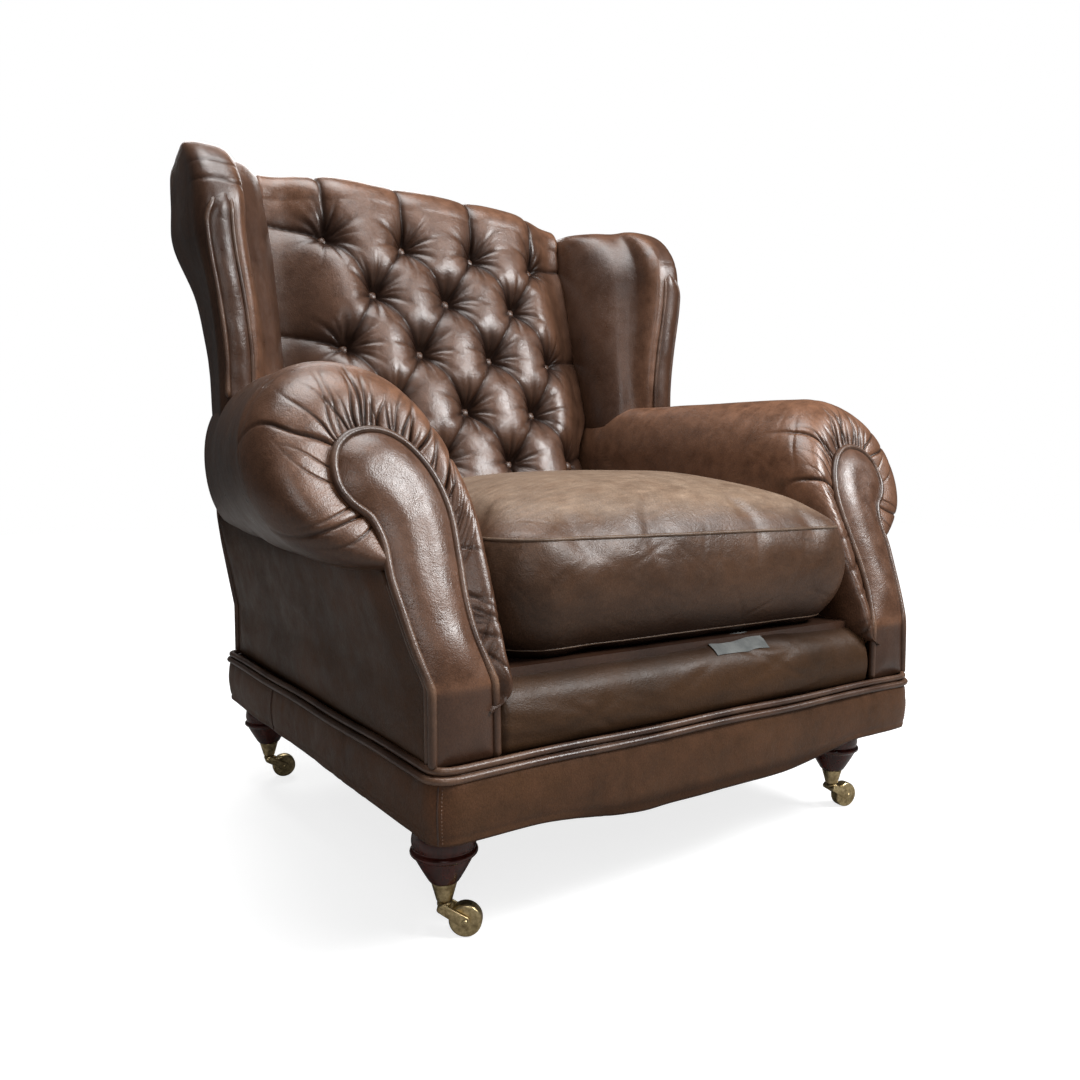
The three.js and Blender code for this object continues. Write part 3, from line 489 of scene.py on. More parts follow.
def leather_look(name, deep, base, worn_and_lit, rough, crease, shine=0.5, uneven=0.55, streak=0.0):
    """Leather that pales with wear and painted light, and darkens towards painted shade in folds, recesses
    and under overhangs.
    """
    look, tree, shader, spot = new_look(name)
    wear_and_light = layer_value(tree, "wear_and_light")
    shade = layer_value(tree, "shade")
    patch = clouds(tree, spot, 38, 5, 0.65)
    colour = ramp(tree, clouds(tree, spot, 7, 4, 0.6), (0.34, deep), (0.66, base))
    # Wear and painted light pale the leather unevenly towards the pale colour.
    unevenness = ramp(tree, patch, (0.32, 1 - uneven), (0.72, 1 + 0.45 * uneven))
    pale_share = node(tree, "ShaderNodeMath", {0: wear_and_light, 1: unevenness}, operation="MULTIPLY", use_clamp=True)
    colour = blend(tree, pale_share.outputs[0], colour, (*worn_and_lit, 1))
    crackle = ramp(tree, cells(tree, spot, 300, feature="DISTANCE_TO_EDGE"), (0.0, 0.70), (0.12, 1))
    colour = blend(tree, 0.6, colour, crackle, "MULTIPLY")
    for turn in STREAK_TURNS if streak else ():
        hair = clouds(tree, stretched(tree, spot, (26, 150, 60), turn), 1, 4, 0.6, 0.3)
        colour = blend(tree, 1, colour, ramp(tree, hair, (0.36, 1 - streak), (0.66, 1 + streak)), "MULTIPLY")
    speck = clouds(tree, spot, 420, 3)
    colour = blend(tree, 1, colour, ramp(tree, speck, (0.3, 0.86), (0.7, 1.1)), "MULTIPLY")
    pebble = bump(tree, cells(tree, spot, 520), 0.22, 0.0006)
    # Painted shade also lowers the specular level.
    dull = node(tree, "ShaderNodeMath", {0: shade, 1: -0.85 * shine, 2: shine}, operation="MULTIPLY_ADD",
                use_clamp=True)
    plug(tree, shader, {
        "Base Color": blend(tree, shade, colour, PAINTED_SHADE),
        "Roughness": ramp(tree, patch, (0.3, rough - 0.06), (0.7, rough + 0.09)),
        "Normal": bump(tree, clouds(tree, spot, 85, 6, 0.62, 1.2), crease, 0.0022, Normal=pebble),
        "Specular IOR Level": dull.outputs[0]})
    return look


def wood_look(name, deep, base, rough, stretch):
    look, tree, shader, spot = new_look(name)
    grain = clouds(tree, stretched(tree, spot, stretch), 60, 6, 0.6, 0.6)
    plug(tree, shader, {
        "Base Color": ramp(tree, grain, (0.35, deep), (0.65, base)),
        "Roughness": ramp(tree, grain, (0.3, rough), (0.7, rough + 0.1)),
        "Normal": bump(tree, grain, 0.15, 0.0006)})
    return look


def metal_look(name, clean, tarnish, rough):
    look, tree, shader, spot = new_look(name)
    stain = clouds(tree, spot, 110, 6, 0.7)
    plug(tree, shader, {
        "Base Color": ramp(tree, stain, (0.38, tarnish), (0.6, clean)),
        "Roughness": ramp(tree, stain, (0.35, rough + 0.2), (0.65, rough)),
        "Normal": bump(tree, clouds(tree, spot, 900, 3), 0.12, 0.0003),
        "Metallic": 1})
    return look


def cloth_look(name, deep, base):
    look, tree, shader, spot = new_look(name)
    weave = node(tree, "ShaderNodeTexChecker", {"Vector": spot, "Scale": 900})
    plug(tree, shader, {
        "Base Color": ramp(tree, clouds(tree, spot, 60, 5), (0.35, deep), (0.65, base)),
        "Roughness": 0.93,
        "Normal": bump(tree, weave.outputs["Fac"], 0.3, 0.0004)})
    return look


leather = leather_look("leather", (0.027, 0.012, 0.007), (0.059, 0.027, 0.015), (0.185, 0.086, 0.046),
                       rough=0.33, crease=0.22)
leather_outer = leather_look("leather_outer", (0.034, 0.018, 0.009), (0.064, 0.031, 0.014),
                             (0.140, 0.060, 0.029), rough=0.42, crease=0.22, shine=0.20)
leather_seat = leather_look("leather_seat", (0.060, 0.028, 0.015), (0.100, 0.047, 0.024),
                            (0.245, 0.172, 0.120), rough=0.38, crease=0.3, shine=0.35, uneven=0.35,
                            streak=0.10)
piping_leather = leather_look("piping_leather", (0.026, 0.011, 0.006), (0.056, 0.024, 0.013),
                              (0.190, 0.105, 0.064), rough=0.34, crease=0.2)
mahogany = wood_look("mahogany", (0.030, 0.006, 0.004), (0.075, 0.014, 0.009), 0.12, (1, 1, 0.25))
beech = wood_look("beech", (0.34, 0.20, 0.10), (0.50, 0.32, 0.17), 0.55, (0.2, 1, 1))
brass = metal_look("brass", (0.72, 0.58, 0.32), (0.34, 0.25, 0.13), 0.27)
steel = metal_look("steel", (0.30, 0.31, 0.32), (0.16, 0.16, 0.16), 0.35)
lining = cloth_look("lining", (0.012, 0.011, 0.011), (0.030, 0.028, 0.027))
tab_cloth = cloth_look("tab_cloth", (0.085, 0.09, 0.088), (0.14, 0.145, 0.14))

CAD_LOOKS = {"leather": leather, "leather_seat": leather_seat, "beech": beech, "mahogany": mahogany,
             "brass": brass, "steel": steel, "cloth": lining, "tab_cloth": tab_cloth}


def dress_cad_nodes():
    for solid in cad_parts.values():
        for slot in solid.material_slots:
            name = slot.material.name.split(".")[0] if slot.material else ""
            slot.material = CAD_LOOKS.get(name, slot.material)


# Shared surfaces of the chair

def facing_y(z):
    """Front of the arm facings, with a soft bend above the blocks."""
    rise = np.asarray(z, float) - BLOCK_TOP
    bend = 0.006
    return BLOCK_FRONT + FACING_LEAN * 0.5 * (rise + np.sqrt(rise * rise + bend * bend))


def back_y(z):
    """Rear of the chair, which leans back above the knee."""
    return 0.3203 + BACK_SLOPE * np.maximum(0, np.asarray(z, float) - BACK_KNEE)


def button_y(z):
    """Plane in which the buttons of the back sit."""
    return 0.1823 + 0.358 * (np.asarray(z, float) - 0.557)


def wing_front(z):
    """Front edge of a wing, rounded back towards its top."""
    share = np.clip((np.asarray(z, float) - (WING_TOP - 0.130)) / 0.131, 0, 1)
    return WING_FRONT + 0.150 * (1 - np.sqrt(1 - share * share))


def wing_outer(y, z):
    """Outer face of a wing, which flares out towards its top."""
    z = np.asarray(z, float)
    toe = 0.19 - 0.10 * smooth(0.83, 0.95, z)
    y = np.asarray(y, float)
    bulge = 0.014 * smooth(0.80, 0.93, z) * np.maximum(0, 1 - ((y - 0.27) / 0.14) ** 2)
    return 0.4605 + 0.0225 * smooth(0.70, 0.93, z) - toe * (y - WING_FRONT) + bulge


def arm_outer(y, z):
    """Outer face of the outside arm."""
    lift = np.maximum(0, np.asarray(z, float) - BLOCK_TOP) / 0.112
    share = np.clip((np.asarray(y, float) + 0.42) / 0.73, 0, 1)
    return 0.4103 + 0.022 * np.minimum(lift, 1.3) - 0.012 * share


# Arms

ARM_COLUMNS = 480
ARM_REAR = 0.272
ARM_HUB = np.array([0.395, 0.312, 0.545])
ROLL_ANGLES = np.radians([180, 165, 145, 125, 105, 85, 65, 45, 25, 0, -30, -55, -75, -92])
NOSE_SECTION = np.array([
    (0.346, 0.284), (0.338, 0.292), (0.343, 0.330), (0.349, 0.375), (0.350, 0.430), (0.347, 0.490),
    (0.352, 0.515), (0.362, 0.541), (0.379, 0.564), (0.401, 0.579), (0.424, 0.584), (0.446, 0.579),
    (0.463, 0.567), (0.473, 0.548), (0.473, 0.525), (0.463, 0.507), (0.447, 0.495), (0.437, 0.478),
    (0.434, 0.460)])
# Deep single pleats of the arm front: angle on the roll, depth and reach
LONG_PLEAT = 40
SINGLE_PLEATS = [
    (LONG_PLEAT, 0.0048, 0.105), (18, 0.0012, 0.05), (-3, 0.0012, 0.05), (-38, 0.0018, 0.05),
    (-57, 0.0042, 0.08), (-70, 0.0020, 0.05), (133, 0.0066, 0.100), (146, 0.0022, 0.05),
    (156, 0.0022, 0.05), (168, 0.0064, 0.105), (176, 0.0022, 0.05)]


def roll_section(foot, centre, half_width, half_height):
    arc = np.stack([centre[0] + half_width * np.cos(ROLL_ANGLES),
                    centre[1] + half_height * np.sin(ROLL_ANGLES)], axis=1)
    return np.concatenate([foot, arc])


FRONT_SECTION = roll_section(
    [(0.340, 0.278), (0.324, 0.290), (0.319, 0.345), (0.317, 0.400), (0.316, 0.460)],
    (0.436, 0.550), 0.120, 0.121)
REAR_SECTION = roll_section(
    [(0.340, 0.285), (0.324, 0.300), (0.318, 0.360), (0.317, 0.420), (0.316, 0.480)],
    (0.386, 0.562), 0.070, 0.123)


def on_roll(angle, knots):
    """Place along the arm's section of an angle on its roll."""
    return np.interp(-np.asarray(angle), -np.degrees(ROLL_ANGLES), knots[5:])


def arm_spacing(knots):
    """Places of the columns along the section, closer together where the pleats are."""
    girth = knots[-1]
    fine = np.linspace(0, girth, 2000)
    density = np.interp(fine, [0, knots[4], knots[6], knots[14], girth], [0.7, 0.8, 1.5, 1.3, 0.5])
    spread = np.concatenate([[0], np.cumsum(density[1:])])
    return np.interp(np.linspace(0, spread[-1], ARM_COLUMNS), spread, fine)


def arm_rows(knots, across, scroll):
    """Rows of an arm: out of the facing, back along the roll and round its closed rear end."""
    nose = curve(NOSE_SECTION, knots, across)
    front = curve(FRONT_SECTION, knots, across)
    rear = curve(REAR_SECTION, knots, across)
    strip = 0.011 * (1 - scroll) * smooth(0, 0.03, across)
    rows = []
    for turn in np.linspace(0, math.pi / 2, 52):
        flat = nose + (front - nose) * math.sin(turn) ** 0.74
        flat[:, 0] -= strip * math.sin(turn)
        bulge = (0.018 - 0.008 * scroll) * math.sin(2 * turn)
        y = facing_y(flat[:, 1]) + 0.003 + (0.024 + 0.042 * scroll) * (1 - math.cos(turn)) - bulge
        rows.append(xyz(flat[:, 0], y, flat[:, 1]))
    last = rows[-1]
    end = xyz(rear[:, 0], ARM_REAR, rear[:, 1])
    for share in np.linspace(0, 1, 76)[1:]:
        rows.append(last + (end - last) * share)
        rows[-1][:, 0] += strip * (float(smooth(0, 0.12, share)) - share)
    for turn in np.linspace(0, math.pi / 2, 8)[1:]:
        shrunk = ARM_HUB + (end - ARM_HUB) * (1 - 0.28 * (1 - math.cos(turn)))
        shrunk[:, 1] = ARM_REAR + 0.039 * math.sin(turn)
        rows.append(shrunk)
    rim = rows[-1]
    for share in (0.5, 0.999):
        rows.append(rim + (ARM_HUB - rim) * share)
    return np.array(rows)


def arm_pleats(rng, knots):
    """Pleats gathered at the arm front: place on the section, depth, reach and sway."""
    pleats = []
    fan = [(angle + rng.uniform(-3, 3), 0.0012 + 0.0046 * rng.random() ** 2, rng.uniform(0.028, 0.085))
           for angle in np.linspace(48, 130, 17)]
    for angle, deep, reach in fan + SINGLE_PLEATS:
        sway = 0.45 if angle == LONG_PLEAT else rng.uniform(-0.5, 0.25)
        pleats.append((on_roll(angle, knots), deep, reach, sway))
    for place in rng.uniform(0.06, knots[5] + 0.01, 26):
        pleats.append((place, rng.uniform(0.0004, 0.0018), rng.uniform(0.02, 0.06),
                       rng.choice([-1, 1]) * rng.uniform(0.5, 1.2)))
    return pleats


def arm_cover(name, side):
    knots = lengths(FRONT_SECTION)
    across = arm_spacing(knots)
    scroll = smooth(knots[4], knots[7], across) * (1 - 0.6 * smooth(knots[16], knots[18], across))
    surface = arm_rows(knots, across, scroll)
    count = len(surface)
    step = np.linalg.norm(np.diff(surface, axis=0), axis=2)
    depth = np.concatenate([np.zeros((1, ARM_COLUMNS)), np.cumsum(step, axis=0)])

    rng = np.random.default_rng(11 if side < 0 else 23)
    lift = np.zeros((count, ARM_COLUMNS))
    groove = np.zeros((count, ARM_COLUMNS))
    for place, deep, reach, sway in arm_pleats(rng, knots):
        centre = place + sway * depth + 0.004 * np.sin(depth * rng.uniform(40, 70) + rng.uniform(0, 6))
        width = 0.0016 + 0.016 * depth
        fade = np.exp(-(depth / reach) ** 2)
        off = across[None, :] - centre
        line = hump(off, width)
        lift -= deep * fade * (line + 0.3 * hump(off, 3.5 * width))
        groove = np.maximum(groove, line * fade * min(1, deep / 0.0024))
    ring = hump(depth - 0.135 - 0.008 * np.sin(across * 9)[None, :], 0.006) * scroll[None, :]
    lift -= 0.0008 * ring
    groove = groove.ravel()
    fan_from, fan_to = on_roll([128, 55], knots)
    gathered = smooth(fan_from - 0.02, fan_from + 0.02, across) * smooth(fan_to + 0.02, fan_to - 0.02, across)
    gathered = (gathered[None, :] * hump(depth, 0.036)).ravel()
    depth = depth.ravel()

    verts = surface.reshape(-1, 3)
    faces = outward(verts, grid_faces(count, ARM_COLUMNS), (0.42, 0, 0.52))
    along = vertex_normals(verts, faces)
    seed = 40 if side < 0 else 60
    soft = fractal(verts, 7, seed) * 0.0026
    lines = strokes(np.tile(across, count), depth, seed, count=26, area=(0.05, 0.62, 0.10, 0.60),
                    slant=(-60, 60), long=(0.04, 0.12), wide=0.0026) * 0.0011
    verts = verts + along * (lift.ravel() + (soft - lines) * smooth(0, 0.012, depth))[:, None]
    # The roll pales with wear near the front and with painted light on its upward faces, both less on its
    # outer side.
    top = smooth(0.15, 0.95, along[:, 2])
    near = 1 - smooth(0.05, 0.42, depth)
    outer = smooth(-0.2, 0.7, along[:, 0])
    wear_and_light = 0.22 + (0.45 * near * smooth(0.40, 0.52, verts[:, 2]) + 0.42 * top) * (1 - 0.75 * outer)
    # Painted light: the right arm is paler all over.
    if side > 0:
        wear_and_light += 0.14
    # Painted shade in the pleats, which also stay less pale, low on the arm and over the gathered fan.
    wear_and_light = wear_and_light * (1 - 0.8 * groove)
    shade = 0.95 * groove + 0.4 * (1 - smooth(0.28, 0.34, verts[:, 2])) + 0.40 * gathered
    verts, faces = mirrored(verts, faces, side)
    piece = make_piece(f"arm_cover_{name}", verts, faces, leather, wear_and_light=wear_and_light, shade=shade)
    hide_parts(f"arm_pad_{name}")


FACING_EDGE = np.array([
    (0.410, 0.2278), (0.410, 0.270), (0.410, 0.312), (0.420, 0.352), (0.427, 0.392), (0.432, 0.423),
    (0.435, 0.470), (0.443, 0.489), (0.460, 0.503), (0.471, 0.519), (0.474, 0.539), (0.469, 0.560),
    (0.455, 0.575), (0.434, 0.583), (0.413, 0.583), (0.390, 0.573), (0.370, 0.553), (0.355, 0.526),
    (0.348, 0.500), (0.348, 0.440), (0.350, 0.397), (0.347, 0.360), (0.339, 0.329), (0.334, 0.311),
    (0.3325, 0.270), (0.332, 0.2278)])


def facing(name, side):
    outline = np.concatenate([FACING_EDGE[:2], spline(FACING_EDGE[2:24], 130), FACING_EDGE[24:]])

    def place(spots, distance):
        upper = 0.45 + 0.55 * smooth(0.30, 0.36, spots[:, 1])
        crown = 0.013 * (1 - (1 - np.minimum(distance / 0.036, 1)) ** 2) * upper
        points = xyz(spots[:, 0], facing_y(spots[:, 1]), spots[:, 1])
        soft = fractal(points, 16, 3 if side < 0 else 8) * 0.0016 * np.minimum(distance / 0.02, 1)
        slope = np.where(spots[:, 1] > BLOCK_TOP, FACING_LEAN, 0) / math.hypot(1, FACING_LEAN)
        out = xyz(0, -np.sqrt(1 - slope * slope), slope)
        return points + out * (crown + soft)[:, None], out

    verts, faces, distance = panel(outline, 0.0035, place, thickness=0.010)
    bend = hump(verts[:, 2] - BLOCK_TOP, 0.006)
    edge = 1 - smooth(0.0, 0.014, distance)
    # Painted light on the shaft, which is paler than the block below it, with wear at the bend and its edge;
    # painted shade beside the piping.
    wear_and_light = 0.46 - 0.36 * smooth(0.32, 0.30, verts[:, 2]) + 0.35 * bend + 0.5 * bend * edge
    shade = 0.35 * hump(distance, 0.004) * (1 - bend)
    verts, faces = mirrored(verts, faces, side)
    piece = make_piece(f"facing_{name}", verts, faces, leather, wear_and_light=wear_and_light, shade=shade)
    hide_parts(f"arm_facing_{name}", f"arm_block_{name}")

    line = evenly(outline, 0.004)
    cord = xyz(line[:, 0], facing_y(line[:, 1]) - 0.0005, line[:, 1])
    line = evenly(FACING_EDGE[:6], 0.005)
    welt = xyz(line[:, 0] - 0.0015, facing_y(line[:, 1]) + 0.0125, line[:, 1])
    verts, faces = joined([tube(cord, 0.0050), tube(welt, 0.0042)])
    wear_and_light = 0.30 + 0.6 * hump(verts[:, 2] - BLOCK_TOP, 0.012) + 0.3 * noise(verts, 30, 4)
    verts, faces = mirrored(verts, faces, side)
    make_piece(f"facing_piping_{name}", verts, faces, piping_leather, wear_and_light=wear_and_light)


def outside_arm(name, side):
    bottom = 0.2275
    top = 0.470
    rear = 0.3185
    levels = np.linspace(bottom, top, 30)
    front = np.stack([facing_y(levels) + 0.014, levels], axis=1)
    outline = np.concatenate([front, [(rear, top), (rear, bottom)]])

    def place(spots, distance):
        points = xyz(arm_outer(spots[:, 0], spots[:, 1]), spots[:, 0], spots[:, 1])
        puff = 0.004 * smooth(0, 0.05, distance)
        puff = puff + fractal(points, 7, 12 + side, 3) * 0.0028 * smooth(0, 0.06, distance)
        out = np.tile([1.0, 0.0, 0.0], (len(spots), 1))
        return points + out * puff[:, None], out

    verts, faces, distance = panel(outline, 0.007, place, thickness=0.008)
    wear_and_light = 0.30 + 0.30 * smooth(0.1, 0.6, fractal(verts, 5, 21 + side))
    if side < 0:
        wear_and_light += hump(np.hypot(verts[:, 1] + 0.290, (verts[:, 2] - 0.446) * 0.5), 0.0045)
    # Painted shade along the edges and high up under the roll.
    shade = 0.4 * hump(distance, 0.006) + 0.45 * smooth(0.40, 0.46, verts[:, 2])
    verts, faces = mirrored(verts, faces, side)
    piece = make_piece(f"outside_arm_cover_{name}", verts, faces, leather_outer, wear_and_light=wear_and_light, shade=shade)
    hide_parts(f"outside_arm_{name}")


# Plinth and seat front

PLINTH_PROFILE = [(-0.016, 0.99), (-0.004, 1.00), (0.0005, 0.965), (0.0045, 0.85), (0.0080, 0.60),
                  (0.0078, 0.35), (0.0042, 0.12), (-0.001, 0.02), (-0.010, 0.0), (-0.016, 0.03)]
BORDER_PROFILE = [(-0.424, 0.2262), (-0.4360, 0.2275), (-0.4425, 0.245), (-0.4420, 0.268), (-0.4340, 0.290),
                  (-0.4160, 0.306), (-0.3860, 0.3135), (-0.3300, 0.3165), (-0.2600, 0.3168)]


def plinth_path(offset, spacing):
    """Plan line of the plinth as x, y, with outward normals."""
    arcs = corner_arcs(PLINTH_SIDE - PLINTH_CORNER, PLINTH_FRONT + PLINTH_CORNER,
                       PLINTH_REAR - PLINTH_CORNER, PLINTH_CORNER + offset, 7)
    line = evenly(arcs, spacing)[:-1]
    ahead = np.roll(line, -1, axis=0) - np.roll(line, 1, axis=0)
    ahead /= np.linalg.norm(ahead, axis=1, keepdims=True)
    return line, np.stack([ahead[:, 1], -ahead[:, 0]], axis=1)


def plinth_low(line):
    """Height of the plinth's lower edge, which hangs lower in the middle of the front."""
    drop = 0.020 * (1 - smooth(0.115, 0.30, np.abs(line[:, 0])))
    return PLINTH_BOTTOM - drop * smooth(0.02, 0.0, line[:, 1] - PLINTH_FRONT)


def plinth():
    line, out = plinth_path(0, 0.007)
    profile = spline(PLINTH_PROFILE, 28)
    low = plinth_low(line)
    height = low[:, None] + (PLINTH_TOP - low)[:, None] * profile[None, :, 1]
    push = np.repeat(profile[None, :, 0], len(line), axis=0)
    verts = xyz(line[:, None, 0] + out[:, None, 0] * push, line[:, None, 1] + out[:, None, 1] * push, height)
    verts = verts.reshape(-1, 3)
    normals = np.repeat(xyz(out[:, 0], out[:, 1], 0), len(profile), axis=0)
    faces = ring_faces(len(line), len(profile))
    faces = outward(verts, faces, (verts - 0.010 * normals)[faces].mean(axis=1))
    chart = np.where(np.abs(normals[:, 0]) > 0.7, verts[:, 1], verts[:, 0])
    folds = strokes(chart, verts[:, 2], 15, count=60, area=(-0.42, 0.42, 0.14, 0.22), slant=(40, 140),
                    long=(0.03, 0.08), wide=0.003)
    soft = fractal(verts * np.array([1.0, 1.0, 0.45]), 11, 5) * 0.0024 - 0.0010 * folds
    face = (push > -0.003).reshape(-1, 1)
    verts = verts + normals * soft[:, None] * face
    corner = hump(np.abs(verts[:, 0]) - PLINTH_SIDE, 0.016) * np.maximum(
        hump(verts[:, 1] - PLINTH_FRONT, 0.016), hump(verts[:, 1] - PLINTH_REAR, 0.016))
    front = smooth(0.03, 0.0, verts[:, 1] - PLINTH_FRONT)
    wear_and_light = 0.48 + 0.45 * corner - 0.10 * front
    # Painted shade along the bottom edge and under the piping, less at the corners.
    shade = 0.5 * smooth(0.155, 0.140, verts[:, 2]) + 0.35 * smooth(0.214, 0.224, verts[:, 2]) * (1 - corner)
    piece = make_piece("plinth_cover", verts, faces, leather_outer, wear_and_light=wear_and_light, shade=shade)
    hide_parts("plinth_front", "plinth_left", "plinth_right", "plinth_rear")
    plinth_seams(piece)
    plinth_piping()


def plinth_piping():
    cords = []
    for offset, height in ((0.0015, PLINTH_TOP + 0.0015), (0.0050, PLINTH_TOP - 0.0080)):
        path, _ = plinth_path(offset, 0.008)
        wave = 0.0008 * np.sin(lengths(path) * 23)
        cords.append(tube(xyz(path[:, 0], path[:, 1], height + wave), 0.0044, closed=True))
    verts, faces = joined(cords)
    corner = hump(np.abs(verts[:, 0]) - PLINTH_SIDE, 0.02) * hump(verts[:, 1] - PLINTH_FRONT, 0.02)
    wear_and_light = 0.22 + 0.7 * corner + 0.3 * noise(verts, 25, 2)
    make_piece("plinth_piping", verts, faces, piping_leather, wear_and_light=wear_and_light)


def plinth_seams(cover):
    """Sewn joins at the front corners and on the sides, with a row of stitches beside each corner."""
    x = PLINTH_SIDE - PLINTH_CORNER
    seam_lift = 0.0002
    ridges = []
    stitches = []
    for side in SIDES.values():
        for y, out in ((PLINTH_FRONT + PLINTH_CORNER, (DIAGONAL, -DIAGONAL)), (0.075, (1, 0))):
            away = np.array([side * out[0], out[1], 0])
            base = np.array([side * x, y, 0]) + 0.08 * away
            heights = np.linspace(0.148, 0.212, 26)
            ridges.append(tube(on_surface(cover, base, away, heights, seam_lift), 0.0012, sides=6))
            if out[0] == 1:
                continue
            base = base + 0.0045 * np.array([-side * DIAGONAL, -DIAGONAL, 0])
            for low in np.linspace(0.151, 0.207, 15):
                heights = np.linspace(low, low + 0.0024, 4)
                stitches.append(tube(on_surface(cover, base, away, heights, seam_lift), 0.0007, sides=6))
    for name, parts, wear_and_light in (("plinth_joins", ridges, 0.08), ("plinth_stitches", stitches, 0.9)):
        verts, faces = joined(parts)
        make_piece(name, verts, faces, piping_leather, wear_and_light=wear_and_light)


def on_surface(cover, base, away, heights, lift):
    """Points on a cover at some heights, found from base against the direction away."""
    spots = [cast(cover, (base[0], base[1], height), -away) for height in heights]
    return np.array(spots) + lift * away


def front_border():
    half = 0.333
    profile = spline(BORDER_PROFILE, 60)
    across = np.linspace(-half, half, 180)[:, None]
    inner = 1 - smooth(0.318, half, np.abs(across))
    verts = xyz(across, profile[None, :, 0] + 0.012 * (1 - inner), profile[None, :, 1] - 0.004 * (1 - inner))
    verts = verts.reshape(-1, 3)
    faces = outward(verts, grid_faces(len(across), len(profile)), (0, -0.2, 0.1))
    along = vertex_normals(verts, faces)
    folds = strokes(verts[:, 0], verts[:, 2], 33, count=26, area=(-0.33, 0.33, 0.23, 0.31), slant=(-25, 25),
                    long=(0.06, 0.22), wide=0.005)
    soft = fractal(verts * np.array([0.35, 1.0, 1.0]), 15, 31) * 0.0034 - 0.0022 * folds
    free = smooth(0.228, 0.24, verts[:, 2]) * smooth(-0.33, -0.38, verts[:, 1])
    verts = verts + along * np.maximum(soft * free, -0.0012)[:, None]
    # Painted shade under the cushion, above the piping and lightly all over.
    shade = 0.75 * smooth(0.296, 0.312, verts[:, 2]) + 0.4 * smooth(0.236, 0.227, verts[:, 2])
    piece = make_piece("front_border_cover", verts, faces, leather_outer, wear_and_light=0.06, shade=shade + 0.10)
    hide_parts("front_border")


# Seat cushion

CUSHION_HALF = 0.3135
CUSHION_FRONT = -0.4345
CUSHION_REAR = 0.106
CUSHION_MIDDLE = (CUSHION_FRONT + CUSHION_REAR) / 2
CUSHION_BOTTOM = 0.3175
CUSHION_SEAM = 0.4600


def rounded_rectangle(half, front, rear, radius, count):
    arcs = corner_arcs(half - radius, front + radius, rear - radius, radius, 9)
    return resample(arcs, count, closed=True)


def cushion_top(x, y):
    """Height of the crowned top of the cushion."""
    across = np.clip(np.abs(x) / CUSHION_HALF, 0, 1)
    along = np.clip(np.abs(y - CUSHION_MIDDLE) / (CUSHION_REAR - CUSHION_MIDDLE), 0, 1)
    crown = (1 - across ** 2.6) ** 0.75 * (1 - along ** 3.0) ** 0.75
    return CUSHION_SEAM + 0.070 * crown


def pressed(reach, room):
    """Flattens what reaches into its neighbour, which leaves it this much room."""
    ease = 0.012
    past = np.maximum(reach - room + ease, 0)
    return np.where(past > 0, room - ease * np.exp(-past / ease), reach)


def cushion_shape():
    """The cushion before it is rounded and swollen: bottom, border and crowned top."""
    count = 220
    wall_low = CUSHION_BOTTOM + 0.004
    rings = []
    edge = rounded_rectangle(CUSHION_HALF, CUSHION_FRONT, CUSHION_REAR, 0.075, count)
    middle = np.array([0, CUSHION_MIDDLE])
    away = edge - middle
    outwards = away / np.linalg.norm(away, axis=1, keepdims=True)
    front = hump(edge[:, 1] - CUSHION_FRONT, 0.08)
    sag = 0.004 * front * np.cos(edge[:, 0] * 6)
    for share in np.linspace(0.01, 0.93, 14):
        spots = middle + away * share
        rings.append(xyz(spots[:, 0], spots[:, 1], CUSHION_BOTTOM))
    for rise in np.linspace(0, 1, 26):
        swell = 0.013 * math.sin(math.pi * rise) ** 0.8 - 0.020 * (1 - rise) ** 4
        spots = edge + outwards * (swell * (0.5 + 0.9 * front))[:, None]
        rings.append(xyz(spots[:, 0], spots[:, 1], wall_low + (CUSHION_SEAM - wall_low) * rise - sag * rise))
    for share in np.linspace(0.985, 0.01, 46):
        spots = middle + away * share
        rings.append(xyz(spots[:, 0], spots[:, 1], cushion_top(spots[:, 0], spots[:, 1])))
    verts = np.concatenate(rings)
    return verts, outward(verts, grid_faces(len(rings), count, loop=True), (0, -0.15, 0.42))


